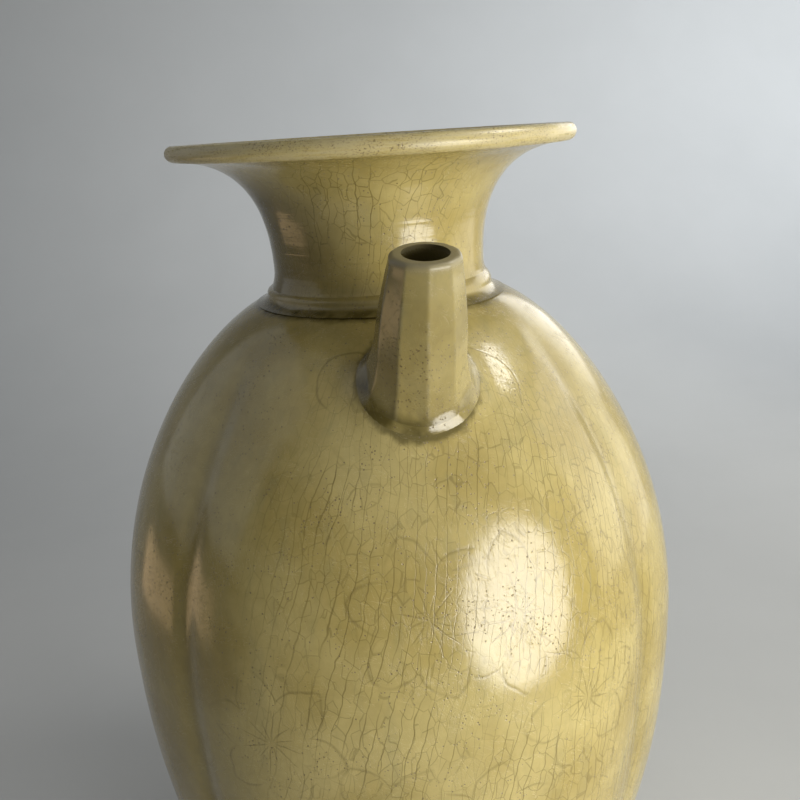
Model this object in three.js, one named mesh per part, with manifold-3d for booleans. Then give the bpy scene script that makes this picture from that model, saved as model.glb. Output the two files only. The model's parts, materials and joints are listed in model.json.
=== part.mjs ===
// A celadon ewer: a lobed, thrown body with a trumpet neck, a faceted spout and a strap handle.
// Every piece is one that the potter makes alone and joins to the next with slip.
// Millimetres, +Z up. The origin is the centre of the foot's resting face, and the spout points along -Y.

import * as THREE from 'three';
import { mergeVertices } from 'three/addons/utils/BufferGeometryUtils.js';
import Module from 'manifold-3d';

const wasm = await Module();
wasm.setup();

// Joints
const LUTING_GAP = 0.3; // clearance between a piece and the curved face it is cut to

// Ring foot
const FOOT_RADIUS = 44;
const FOOT_HEIGHT = 6;
const FOOT_WIDTH = 7;
const FOOT_BEVEL = 1.2;

// Body: its outline runs from the shoulder's flat seat over the belly to the foot. An arm length says how
// far an outline keeps the direction that it has at a named point before it bends away.
const BODY_HEIGHT = 194;
const BODY_WALL = 4.5;
const BODY_FLOOR = 5;
const BELLY_RADIUS = 77.4;
const BELLY_HEIGHT = 104.6; // above the body's base
const SHOULDER_SEAT_RADIUS = 30;
const SHOULDER_SLOPE = 15.8; // degrees below level where the shoulder leaves its seat
const SHOULDER_ARM_LENGTH = 18;
const UPPER_BELLY_ARM_LENGTH = 49;
const LOWER_BELLY_ARM_LENGTH = 44;
const FOOT_SLOPE = 35; // degrees above level where the body leaves the foot
const FOOT_ARM_LENGTH = 30;

// Four furrows pressed into the soft wall divide the body into lobes
const FURROW_AZIMUTHS = [-51.5, 44.5, 135.5, 228.5]; // degrees from the spout, uneven by hand
const FURROW_SPREAD = 3; // degrees that the front and back furrows move apart at the shoulder
const FURROW_DEPTH = 1.1;
const FURROW_HALF_WIDTH = 3.6;
const TROUGH_DEPTH = 1.5; // the wide dip on both sides of a furrow
const TROUGH_HALF_WIDTH = 14;
const FURROW_TOP_FADE = 26; // length along which a furrow dies away under the shoulder
const FURROW_FOOT_FADE = 30;

// Slip ring between shoulder and neck
const SEAM_HEIGHT = 2;
const SEAM_RADIUS = 30.4;

// Trumpet neck
const NECK_HEIGHT = 38;
const NECK_WALL = 4.2;
const NECK_FOOT_RADIUS = 29.4;
const WAIST_RADIUS = 27.9;
const WAIST_HEIGHT = 5.2; // above the neck's foot
const NECK_RISE = 15.2; // how far the neck stays upright above its waist
const RIM_RADIUS = 52;
const RIM_SPREAD = 17.2; // how far in from the lip the mouth stays nearly level
const RIM_SLOPE = 3; // degrees
const LIP_HEIGHT = 4.3;
const LIP_OVERHANG = 2; // how far the lip band stands out over its underside
const LIP_TOP_WIDTH = 3.4;

// Faceted spout
const SPOUT_FACETS = 10;
const SPOUT_SEAT_INSET = 28.9; // how far inside the belly's reach the spout's axis leaves the shoulder
const SPOUT_LEAN = 27; // degrees out from upright
const SPOUT_LENGTH = 34.1;
const SPOUT_MOUTH_RADIUS = 7.3;
const SPOUT_ROOT_RADIUS = 10.6;
const SPOUT_SWELL = 0.8;
const SPOUT_ROOT_TURN = -3; // degrees that the arrises stand round the axis at the seat
const SPOUT_MOUTH_TURN = -10.5; // and at the mouth: the knife drifted as it was drawn up
const SPOUT_MOUTH_TILT = 11.5; // degrees, the knife-cut mouth's own lean out from level
const SPOUT_BORE_RADIUS = 4.9;
const SPOUT_BORE_ROOT_RADIUS = 5.8;
const SPOUT_LIP_BEVEL = 0.5;
const SPOUT_EMBED = 14; // stock below the seat, cut away to the shoulder's curve
const SPOUT_COIL_RADIUS = 2;

// Strap handle
const HANDLE_NECK_HEIGHT = 17.7; // above the neck's foot
const HANDLE_LEAVE_ANGLE = 16; // degrees above level
const HANDLE_TOP_ARM_LENGTH = 26;
const HANDLE_REACH_INSET = 0.5; // how far the handle's back stays inside the belly's reach
const HANDLE_BEND_HEIGHT = 7.2; // height of its outermost point above the neck's foot
const HANDLE_BEND_ARM_LENGTH = 19;
const HANDLE_SEAT_INSET = 16.4; // how far inside the belly's reach it lands on the shoulder
const HANDLE_LAND_ANGLE = 62; // degrees below level
const HANDLE_LAND_ARM_LENGTH = 16;
const HANDLE_WIDTH = 19;
const HANDLE_END_WIDTH = 24;
const HANDLE_THICKNESS = 7;
const HANDLE_GROOVE_DEPTH = 0.9;
const HANDLE_EMBED = 9; // stock beyond each end, cut away to the neck's and the shoulder's curve
const HANDLE_COIL_RADIUS = 2.2;

// Fineness of the faceted surfaces
const BODY_COLUMNS = 56; // a multiple of the number of furrows
const BODY_ROWS = 13; // from the shoulder to the belly, and again to the foot
const BODY_INNER_ROWS = 8;
const COLUMN_CROWDING = 0.72; // how closely the columns gather at the furrows
const NECK_COLUMNS = 48;
const NECK_ROWS = 12;
const NECK_INNER_ROWS = 9;
const LIP_STEPS = 6;
const SPOUT_ROWS = 6;
const BORE_COLUMNS = 16;
const COIL_STEPS = 32;
const COIL_COLUMNS = 10;
const HANDLE_ROWS = 12; // along each half of the free strap
const OUTLINE_SAMPLES = 160; // used only to read a radius off an outline

// Heights at which the pieces stand on each other
const BODY_Z = FOOT_HEIGHT;
const BELLY_Z = BODY_Z + BELLY_HEIGHT;
const SHOULDER_Z = BODY_Z + BODY_HEIGHT;
const NECK_Z = SHOULDER_Z + SEAM_HEIGHT;
const RIM_Z = NECK_Z + NECK_HEIGHT;
const BORE_RADIUS = WAIST_RADIUS - NECK_WALL;

// Distances from the ewer's axis at which the spout and the handle stand on the shoulder
const SPOUT_SEAT_RADIUS = BELLY_RADIUS - SPOUT_SEAT_INSET;
const HANDLE_SEAT_RADIUS = BELLY_RADIUS - HANDLE_SEAT_INSET;

const radians = THREE.MathUtils.degToRad;

// Polar step in the plane of an outline, where x is the distance from the axis and y the height
function stepFrom(point, degrees, length) {
  const turn = radians(degrees);
  return new THREE.Vector2(point.x + length * Math.cos(turn), point.y + length * Math.sin(turn));
}

// Turns a closed three.js geometry into a solid: shared vertices merged, collapsed triangles dropped
function toSolid(geometry) {
  const bare = geometry.clone();
  bare.deleteAttribute('normal');
  bare.deleteAttribute('uv');
  const merged = mergeVertices(bare, 1e-4);
  const index = merged.index.array;
  const triangles = [];
  for (let i = 0; i < index.length; i += 3) {
    const [a, b, c] = [index[i], index[i + 1], index[i + 2]];
    if (a !== b && b !== c && c !== a) triangles.push(a, b, c);
  }
  const mesh = new wasm.Mesh({
    numProp: 3,
    vertProperties: new Float32Array(merged.attributes.position.array),
    triVerts: new Uint32Array(triangles),
  });
  const solid = new wasm.Manifold(mesh);
  return solid.volume() < 0 ? toSolid(flipped(geometry)) : solid;
}

// The same geometry with its faces turned over
function flipped(geometry) {
  const copy = geometry.index ? geometry.clone() : mergeVertices(geometry);
  const index = copy.index.array;
  for (let i = 0; i < index.length; i += 3) {
    const first = index[i];
    index[i] = index[i + 1];
    index[i + 1] = first;
  }
  return copy;
}

// The solid's triangles as a three.js geometry
function toGeometry(solid) {
  const mesh = solid.getMesh();
  const geometry = new THREE.BufferGeometry();
  const positions = new Float32Array(mesh.numVert * 3);
  for (let i = 0; i < mesh.numVert; i += 1) {
    for (let k = 0; k < 3; k += 1) positions[i * 3 + k] = mesh.vertProperties[i * mesh.numProp + k];
  }
  geometry.setAttribute('position', new THREE.BufferAttribute(positions, 3));
  geometry.setIndex(new THREE.BufferAttribute(new Uint32Array(mesh.triVerts), 1));
  geometry.computeVertexNormals();
  return geometry;
}

function middleOf(points) {
  return points.reduce((sum, point) => sum.add(point), new THREE.Vector3()).divideScalar(points.length);
}

// A skin over rings of equally many points: capped at both ends, or joined last ring to first
function loft(rings, endless = false) {
  const count = rings[0].length;
  const positions = rings.flat().flatMap((point) => [point.x, point.y, point.z]);
  const index = [];
  const spans = endless ? rings.length : rings.length - 1;
  for (let row = 0; row < spans; row += 1) {
    const here = row * count;
    const next = ((row + 1) % rings.length) * count;
    for (let i = 0; i < count; i += 1) {
      const j = (i + 1) % count;
      index.push(here + i, here + j, next + j);
      index.push(here + i, next + j, next + i);
    }
  }
  if (!endless) {
    for (const [row, inward] of [[0, true], [rings.length - 1, false]]) {
      const centre = positions.length / 3;
      const middle = middleOf(rings[row]);
      positions.push(middle.x, middle.y, middle.z);
      for (let i = 0; i < count; i += 1) {
        const a = row * count + i;
        const b = row * count + ((i + 1) % count);
        index.push(...(inward ? [centre, b, a] : [centre, a, b]));
      }
    }
  }
  const geometry = new THREE.BufferGeometry();
  geometry.setAttribute('position', new THREE.Float32BufferAttribute(positions, 3));
  geometry.setIndex(index);
  return geometry;
}

// The body's outline from its shoulder seat to its foot, in two curves that meet upright at the belly
function bodyOutline(rows) {
  const seat = new THREE.Vector2(SHOULDER_SEAT_RADIUS, SHOULDER_Z);
  const belly = new THREE.Vector2(BELLY_RADIUS, BELLY_Z);
  const foot = new THREE.Vector2(FOOT_RADIUS, BODY_Z);
  const upper = new THREE.CubicBezierCurve(
    seat,
    stepFrom(seat, -SHOULDER_SLOPE, SHOULDER_ARM_LENGTH),
    stepFrom(belly, 90, UPPER_BELLY_ARM_LENGTH),
    belly,
  );
  const lower = new THREE.CubicBezierCurve(
    belly,
    stepFrom(belly, -90, LOWER_BELLY_ARM_LENGTH),
    stepFrom(foot, FOOT_SLOPE, FOOT_ARM_LENGTH),
    foot,
  );
  return [...upper.getPoints(rows), ...lower.getPoints(rows).slice(1)];
}

// The neck's outline from its foot over the waist to the lip's underside
function neckOutline(rows) {
  const foot = new THREE.Vector2(NECK_FOOT_RADIUS, NECK_Z);
  const waist = new THREE.Vector2(WAIST_RADIUS, NECK_Z + WAIST_HEIGHT);
  const underLip = new THREE.Vector2(RIM_RADIUS - LIP_OVERHANG, RIM_Z - LIP_HEIGHT);
  const bend = new THREE.Vector2(WAIST_RADIUS, NECK_Z + WAIST_HEIGHT / 2);
  const flare = new THREE.QuadraticBezierCurve(foot, bend, waist);
  const trumpet = new THREE.CubicBezierCurve(
    waist,
    stepFrom(waist, 90, NECK_RISE),
    stepFrom(underLip, 180 + RIM_SLOPE, RIM_SPREAD),
    underLip,
  );
  return [...flare.getPoints(3), ...trumpet.getPoints(rows).slice(1)];
}

// An outline moved sideways by a distance, to the left of the way it runs
function offsetOutline(points, distance) {
  return points.map((point, i) => {
    const before = points[Math.max(i - 1, 0)];
    const after = points[Math.min(i + 1, points.length - 1)];
    const along = after.clone().sub(before).normalize();
    return new THREE.Vector2(point.x - along.y * distance, point.y + along.x * distance);
  });
}

// Distance from the axis at which an outline passes a height
function radiusAt(outline, height) {
  for (let i = 1; i < outline.length; i += 1) {
    const [a, b] = [outline[i - 1], outline[i]];
    if ((a.y - height) * (b.y - height) <= 0 && a.y !== b.y) {
      return a.x + ((b.x - a.x) * (height - a.y)) / (b.y - a.y);
    }
  }
  return 0;
}

// Height at which the body's outline above the belly passes a distance from the axis
function shoulderHeightAt(radius) {
  for (let i = 1; i < BODY_OUTLINE.length; i += 1) {
    const [a, b] = [BODY_OUTLINE[i - 1], BODY_OUTLINE[i]];
    if (a.x <= radius && b.x >= radius) return a.y + ((b.y - a.y) * (radius - a.x)) / (b.x - a.x);
  }
  return BELLY_Z;
}

const BODY_OUTLINE = bodyOutline(OUTLINE_SAMPLES);
const NECK_OUTLINE = neckOutline(OUTLINE_SAMPLES);

// How strongly the furrows show at a height: they die away towards the shoulder and the foot
function furrowStrength(height) {
  const fromTop = THREE.MathUtils.smoothstep(SHOULDER_Z - height, 0, FURROW_TOP_FADE);
  const fromFoot = THREE.MathUtils.smoothstep(height - BODY_Z, 0, FURROW_FOOT_FADE);
  return fromTop * fromFoot;
}

// Azimuth of a furrow at a height, in degrees from the spout
function furrowAzimuth(k, height) {
  const rise = THREE.MathUtils.clamp((height - BELLY_Z) / (SHOULDER_Z - BELLY_Z), -1, 1);
  const side = k % 2 === 0 ? -1 : 1;
  return FURROW_AZIMUTHS[k % FURROW_AZIMUTHS.length] + side * FURROW_SPREAD * rise;
}

// How far the pressed furrows draw the wall in at an azimuth and height
function furrowDip(azimuth, height, radius) {
  const strength = furrowStrength(height);
  let dip = 0;
  for (let k = 0; k < FURROW_AZIMUTHS.length; k += 1) {
    const turn = THREE.MathUtils.euclideanModulo(azimuth - furrowAzimuth(k, height) + 180, 360) - 180;
    const away = radians(turn) * radius;
    dip += FURROW_DEPTH * Math.exp(-((away / FURROW_HALF_WIDTH) ** 2));
    dip += TROUGH_DEPTH * Math.exp(-((away / TROUGH_HALF_WIDTH) ** 2));
  }
  return dip * strength;
}

// Azimuth of one column of the body's surface: columns crowd together at the furrows
function columnAzimuth(column, height) {
  const perLobe = BODY_COLUMNS / FURROW_AZIMUTHS.length;
  const k = Math.floor(column / perLobe) % FURROW_AZIMUTHS.length;
  const share = (column % perLobe) / perLobe;
  const crowded = share - (COLUMN_CROWDING / (2 * Math.PI)) * Math.sin(2 * Math.PI * share);
  const start = furrowAzimuth(k, height);
  const end = k + 1 < FURROW_AZIMUTHS.length ? furrowAzimuth(k + 1, height) : furrowAzimuth(0, height) + 360;
  return start + (end - start) * crowded;
}

// A turned profile drawn in at the furrows, as a solid
function lobedSolid(profile) {
  const geometry = new THREE.LatheGeometry(profile, BODY_COLUMNS);
  const positions = geometry.attributes.position;
  for (let i = 0; i < positions.count; i += 1) {
    const point = profile[i % profile.length];
    const column = Math.floor(i / profile.length) % BODY_COLUMNS;
    const azimuth = columnAzimuth(column, point.y);
    const radius = point.x > 0 ? point.x - furrowDip(azimuth, point.y, point.x) : 0;
    const turn = radians(azimuth);
    positions.setXYZ(i, radius * Math.sin(turn), -radius * Math.cos(turn), point.y);
  }
  return toSolid(geometry);
}

// A turned profile as a solid
function turnedSolid(profile, columns) {
  const geometry = new THREE.LatheGeometry(profile, columns);
  geometry.rotateX(Math.PI / 2);
  return toSolid(geometry);
}

// Everything inside the body's outer surface, grown by a distance: the cutter for what stands on it
function bodyEnvelope(grow) {
  const outline = offsetOutline(bodyOutline(BODY_ROWS), grow);
  const top = new THREE.Vector2(0, outline[0].y);
  const bottom = new THREE.Vector2(0, outline[outline.length - 1].y);
  return lobedSolid([top, ...outline, bottom]);
}

// Everything inside the neck's outer surface, grown by a distance
function neckEnvelope(grow) {
  const outline = offsetOutline(neckOutline(NECK_ROWS), -grow);
  const bottom = new THREE.Vector2(0, outline[0].y);
  const top = new THREE.Vector2(0, outline[outline.length - 1].y);
  return turnedSolid([bottom, ...outline, top], NECK_COLUMNS);
}

// The spout's axis: a seat on the shoulder and a lean in the plane of the spout
const SPOUT_SEAT = new THREE.Vector3(0, -SPOUT_SEAT_RADIUS, shoulderHeightAt(SPOUT_SEAT_RADIUS));

// A point on the spout, by its distance above the seat, its bearing round the axis and its radius.
// Sections lean over from square to the axis at the seat to the cut of the mouth.
function spoutPoint(along, bearing, radius) {
  const lean = radians(SPOUT_LEAN);
  const axis = new THREE.Vector3(0, -Math.sin(lean), Math.cos(lean));
  const share = THREE.MathUtils.clamp(along / SPOUT_LENGTH, 0, 1);
  const tilt = radians(THREE.MathUtils.lerp(SPOUT_LEAN, SPOUT_MOUTH_TILT, share));
  const outward = new THREE.Vector3(0, -Math.cos(tilt), -Math.sin(tilt));
  return SPOUT_SEAT.clone()
    .addScaledVector(axis, along)
    .addScaledVector(outward, (radius * Math.cos(bearing)) / Math.cos(lean - tilt))
    .add(new THREE.Vector3(radius * Math.sin(bearing), 0, 0));
}

// The spout's outer radius over its arrises: a straight taper with a slight swell
function spoutRadius(along) {
  const share = THREE.MathUtils.clamp(along / SPOUT_LENGTH, -1, 1);
  const taper = THREE.MathUtils.lerp(SPOUT_ROOT_RADIUS, SPOUT_MOUTH_RADIUS, share);
  return taper + (share > 0 ? SPOUT_SWELL * Math.sin(Math.PI * share) : 0);
}

// One section of the spout, its corners on the arrises that turn a little on their way up
function spoutRing(along, radius, columns) {
  const share = THREE.MathUtils.clamp(along / SPOUT_LENGTH, 0, 1);
  const first = radians(THREE.MathUtils.lerp(SPOUT_ROOT_TURN, SPOUT_MOUTH_TURN, share));
  return Array.from({ length: columns }, (_, i) => {
    return spoutPoint(along, first + (2 * Math.PI * i) / columns, radius);
  });
}

// The faceted shaft, grown by a distance, from below the shoulder's surface to the mouth
function spoutShaft(grow) {
  const rings = [spoutRing(-SPOUT_EMBED, spoutRadius(-SPOUT_EMBED) + grow, SPOUT_FACETS)];
  for (let row = 0; row < SPOUT_ROWS; row += 1) {
    const along = (row / SPOUT_ROWS) * (SPOUT_LENGTH - SPOUT_LIP_BEVEL);
    rings.push(spoutRing(along, spoutRadius(along) + grow, SPOUT_FACETS));
  }
  rings.push(spoutRing(SPOUT_LENGTH - SPOUT_LIP_BEVEL, SPOUT_MOUTH_RADIUS + grow, SPOUT_FACETS));
  rings.push(spoutRing(SPOUT_LENGTH, SPOUT_MOUTH_RADIUS - SPOUT_LIP_BEVEL + grow, SPOUT_FACETS));
  return toSolid(loft(rings));
}

// The way through the spout and the shoulder's wall, as a cutter that runs past both ends
function spoutBore() {
  const past = 2 * BODY_WALL;
  const rings = [
    spoutRing(-SPOUT_EMBED - past, SPOUT_BORE_ROOT_RADIUS, BORE_COLUMNS),
    spoutRing(0, SPOUT_BORE_ROOT_RADIUS, BORE_COLUMNS),
    spoutRing(SPOUT_LENGTH, SPOUT_BORE_RADIUS, BORE_COLUMNS),
    spoutRing(SPOUT_LENGTH + past, SPOUT_BORE_RADIUS, BORE_COLUMNS),
  ];
  return toSolid(loft(rings));
}

// A coil of clay laid along a closed curve, as an endless round rod
function coil(curvePoints, radius) {
  const curve = new THREE.CatmullRomCurve3(curvePoints, true);
  const points = curve.getSpacedPoints(COIL_STEPS).slice(0, COIL_STEPS);
  const middle = middleOf(points);
  const rings = points.map((point, i) => {
    const before = points[(i + COIL_STEPS - 1) % COIL_STEPS];
    const after = points[(i + 1) % COIL_STEPS];
    const along = after.clone().sub(before).normalize();
    const outward = point.clone().sub(middle).projectOnPlane(along).normalize();
    const up = along.clone().cross(outward);
    return Array.from({ length: COIL_COLUMNS }, (_, j) => {
      const turn = (2 * Math.PI * j) / COIL_COLUMNS;
      return point.clone()
        .addScaledVector(outward, radius * Math.cos(turn))
        .addScaledVector(up, radius * Math.sin(turn));
    });
  });
  return toSolid(loft(rings, true));
}

// Where a line of points, from outside to inside, crosses a surface
function crossing(pointAt, outside, inside, isInside) {
  let [far, near] = [outside, inside];
  for (let i = 0; i < 40; i += 1) {
    const middle = (far + near) / 2;
    if (isInside(pointAt(middle))) near = middle;
    else far = middle;
  }
  return pointAt(far);
}

function insideBody(point) {
  const azimuth = THREE.MathUtils.radToDeg(Math.atan2(point.x, -point.y));
  const radius = radiusAt(BODY_OUTLINE, point.z);
  return Math.hypot(point.x, point.y) < radius - furrowDip(azimuth, point.z, radius);
}

function insideNeck(point) {
  return Math.hypot(point.x, point.y) < radiusAt(NECK_OUTLINE, point.z);
}

// The handle's centre line in the plane opposite the spout: x is the distance from the axis, y the height
function handlePath() {
  const neckHeight = NECK_Z + HANDLE_NECK_HEIGHT;
  const start = new THREE.Vector2(radiusAt(NECK_OUTLINE, neckHeight), neckHeight);
  const reach = BELLY_RADIUS - HANDLE_REACH_INSET - HANDLE_THICKNESS / 2;
  const bend = new THREE.Vector2(reach, NECK_Z + HANDLE_BEND_HEIGHT);
  const end = new THREE.Vector2(HANDLE_SEAT_RADIUS, shoulderHeightAt(HANDLE_SEAT_RADIUS));
  const path = new THREE.CurvePath();
  path.add(new THREE.LineCurve(stepFrom(start, 180 + HANDLE_LEAVE_ANGLE, HANDLE_EMBED), start));
  path.add(new THREE.CubicBezierCurve(
    start,
    stepFrom(start, HANDLE_LEAVE_ANGLE, HANDLE_TOP_ARM_LENGTH),
    stepFrom(bend, 90, HANDLE_BEND_ARM_LENGTH),
    bend,
  ));
  path.add(new THREE.CubicBezierCurve(
    bend,
    stepFrom(bend, -90, HANDLE_BEND_ARM_LENGTH),
    stepFrom(end, HANDLE_LAND_ANGLE, HANDLE_LAND_ARM_LENGTH),
    end,
  ));
  path.add(new THREE.LineCurve(end, stepFrom(end, 180 + HANDLE_LAND_ANGLE, HANDLE_EMBED)));
  return path;
}

const HANDLE_PATH = handlePath();

// The strap's section as shares of half its width and half its thickness: a flat, round-edged strap
// whose outer face has two grooves drawn along it. The last value is the share of the groove's depth.
const STRAP_SECTION = [
  [-1, 0, 0], [-0.9, 0.66, 0], [-0.62, 0.96, 0], [-0.34, 1, 1], [0, 1, 0],
  [0.34, 1, 1], [0.62, 0.96, 0], [0.9, 0.66, 0], [1, 0, 0],
  [0.88, -0.76, 0], [0.5, -1, 0], [-0.5, -1, 0], [-0.88, -0.76, 0],
];

// One section of the handle. The place counts the path's four stretches: 1 to 3 is the free strap.
function handleRing(place, grow) {
  const stretch = Math.min(Math.floor(place), HANDLE_PATH.curves.length - 1);
  const curve = HANDLE_PATH.curves[stretch];
  const centre = curve.getPoint(place - stretch);
  const along = curve.getTangent(place - stretch);
  const fromMiddle = Math.min(Math.abs(place - 2), 1);
  const halfWidth = THREE.MathUtils.lerp(HANDLE_WIDTH, HANDLE_END_WIDTH, fromMiddle ** 3) / 2 + grow;
  const halfThickness = HANDLE_THICKNESS / 2 + grow;
  return STRAP_SECTION.map(([across, through, groove]) => {
    const out = through * halfThickness - groove * HANDLE_GROOVE_DEPTH;
    return new THREE.Vector3(across * halfWidth, centre.x - along.y * out, centre.y + along.x * out);
  });
}

// The whole strap, grown by a distance, with its stock beyond both ends
function handleStock(grow) {
  const places = [0];
  for (let row = 0; row <= 2 * HANDLE_ROWS; row += 1) places.push(1 + row / HANDLE_ROWS);
  places.push(4);
  return toSolid(loft(places.map((place) => handleRing(place, grow))));
}

// The closed curve in which the strap enters a surface between two of its places, passing over its grooves
function handleRootCurve(outside, inside, isInside) {
  const curve = [];
  STRAP_SECTION.forEach(([, , groove], i) => {
    if (groove > 0) return;
    curve.push(crossing((place) => handleRing(place, 0)[i], outside, inside, isInside));
  });
  return curve;
}

// The closed curve in which the spout's shaft enters the shoulder
function spoutRootCurve() {
  return Array.from({ length: COIL_STEPS }, (_, i) => {
    const bearing = (2 * Math.PI * i) / COIL_STEPS;
    const pointAt = (along) => spoutPoint(along, bearing, spoutRadius(along));
    return crossing(pointAt, SPOUT_LENGTH / 2, -SPOUT_EMBED, insideBody);
  });
}

function makeFootRing() {
  const inner = FOOT_RADIUS - FOOT_WIDTH;
  return turnedSolid([
    new THREE.Vector2(inner + FOOT_BEVEL, 0),
    new THREE.Vector2(FOOT_RADIUS - FOOT_BEVEL, 0),
    new THREE.Vector2(FOOT_RADIUS, FOOT_BEVEL),
    new THREE.Vector2(FOOT_RADIUS, FOOT_HEIGHT),
    new THREE.Vector2(inner, FOOT_HEIGHT),
    new THREE.Vector2(inner, FOOT_BEVEL),
    new THREE.Vector2(inner + FOOT_BEVEL, 0),
  ], NECK_COLUMNS);
}

// The hollow body: one profile from the middle of its base, up the outside, over the seat and down inside
function makeBody() {
  const outside = bodyOutline(BODY_ROWS).reverse();
  const floor = BODY_Z + BODY_FLOOR;
  const inside = offsetOutline(bodyOutline(BODY_INNER_ROWS), -BODY_WALL);
  for (const point of inside) {
    point.x = Math.max(point.x, BORE_RADIUS);
    point.y = Math.max(point.y, floor);
  }
  const profile = [
    new THREE.Vector2(0, BODY_Z),
    ...outside,
    new THREE.Vector2(BORE_RADIUS, SHOULDER_Z),
    new THREE.Vector2(BORE_RADIUS, inside[0].y),
    ...inside,
    new THREE.Vector2(0, floor),
  ];
  return lobedSolid(profile).subtract(spoutBore());
}

function makeNeckLuting() {
  const middle = SHOULDER_Z + SEAM_HEIGHT / 2;
  return turnedSolid([
    new THREE.Vector2(BORE_RADIUS, SHOULDER_Z),
    new THREE.Vector2(SHOULDER_SEAT_RADIUS, SHOULDER_Z),
    new THREE.Vector2(SEAM_RADIUS, middle),
    new THREE.Vector2(NECK_FOOT_RADIUS, NECK_Z),
    new THREE.Vector2(BORE_RADIUS, NECK_Z),
    new THREE.Vector2(BORE_RADIUS, SHOULDER_Z),
  ], NECK_COLUMNS);
}

// The trumpet neck: up the outside, round the lip band, and down the dished mouth and the throat
function makeNeck() {
  const outside = neckOutline(NECK_ROWS);
  const throat = offsetOutline(neckOutline(NECK_INNER_ROWS), NECK_WALL)
    .filter((point) => point.y > NECK_Z + WAIST_HEIGHT && point.x < RIM_RADIUS - LIP_TOP_WIDTH)
    .reverse();
  const lip = new THREE.EllipseCurve(
    RIM_RADIUS - LIP_OVERHANG,
    RIM_Z - LIP_HEIGHT / 2,
    LIP_OVERHANG,
    LIP_HEIGHT / 2,
    -Math.PI / 2,
    Math.PI / 2,
  ).getPoints(LIP_STEPS);
  return turnedSolid([
    new THREE.Vector2(BORE_RADIUS, NECK_Z),
    ...outside,
    ...lip.slice(1),
    ...throat,
    new THREE.Vector2(BORE_RADIUS, NECK_Z + WAIST_HEIGHT),
    new THREE.Vector2(BORE_RADIUS, NECK_Z),
  ], NECK_COLUMNS);
}

const bodyCutter = bodyEnvelope(LUTING_GAP);
const neckCutter = neckEnvelope(LUTING_GAP);
const spoutCutter = spoutShaft(LUTING_GAP);
const handleCutter = handleStock(LUTING_GAP);

function makeSpout() {
  return spoutShaft(0).subtract(bodyCutter).subtract(spoutBore());
}

function makeSpoutLuting() {
  return coil(spoutRootCurve(), SPOUT_COIL_RADIUS).subtract(bodyCutter).subtract(spoutCutter);
}

function makeHandle() {
  return handleStock(0).subtract(bodyCutter).subtract(neckCutter);
}

function makeHandleUpperLuting() {
  const root = handleRootCurve(1.5, 0, insideNeck);
  return coil(root, HANDLE_COIL_RADIUS).subtract(neckCutter).subtract(handleCutter);
}

function makeHandleLowerLuting() {
  const root = handleRootCurve(2.5, 4, insideBody);
  return coil(root, HANDLE_COIL_RADIUS).subtract(bodyCutter).subtract(handleCutter);
}

const ewer = new THREE.Group();

function addPiece(name, solid, color, roughness) {
  const material = new THREE.MeshStandardMaterial({ color, roughness, metalness: 0 });
  const mesh = new THREE.Mesh(toGeometry(solid), material);
  mesh.name = name;
  ewer.add(mesh);
}

addPiece('foot_ring', makeFootRing(), 0x9c8c68, 0.6);
addPiece('body', makeBody(), 0xa69c66, 0.22);
addPiece('neck_luting', makeNeckLuting(), 0x7d7644, 0.2);
addPiece('neck', makeNeck(), 0xa89f6c, 0.24);
addPiece('spout', makeSpout(), 0xa19867, 0.26);
addPiece('spout_luting', makeSpoutLuting(), 0x8a8050, 0.2);
addPiece('handle', makeHandle(), 0xa39965, 0.24);
addPiece('handle_upper_luting', makeHandleUpperLuting(), 0x8a8050, 0.2);
addPiece('handle_lower_luting', makeHandleLowerLuting(), 0x8a8050, 0.2);

export default ewer;
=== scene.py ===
# %% [markdown]
# # A celadon ewer
# The ewer is one fired stoneware vessel: a lobed body, a trumpet neck with a wide mouth, a short faceted
# spout and a strap handle, all under one pale olive glaze. The CAD model gives every piece its size and
# place. This lesson gives the pieces their smooth skins, and the glaze its depth: crackle, pooled edges,
# incised flowers and a worn lip.
#
# Shapes are worked out in millimetres, as a potter would measure them, and turned to metres where a mesh is
# made.

import json
import math

import bpy
from mathutils import Matrix, Vector

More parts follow.
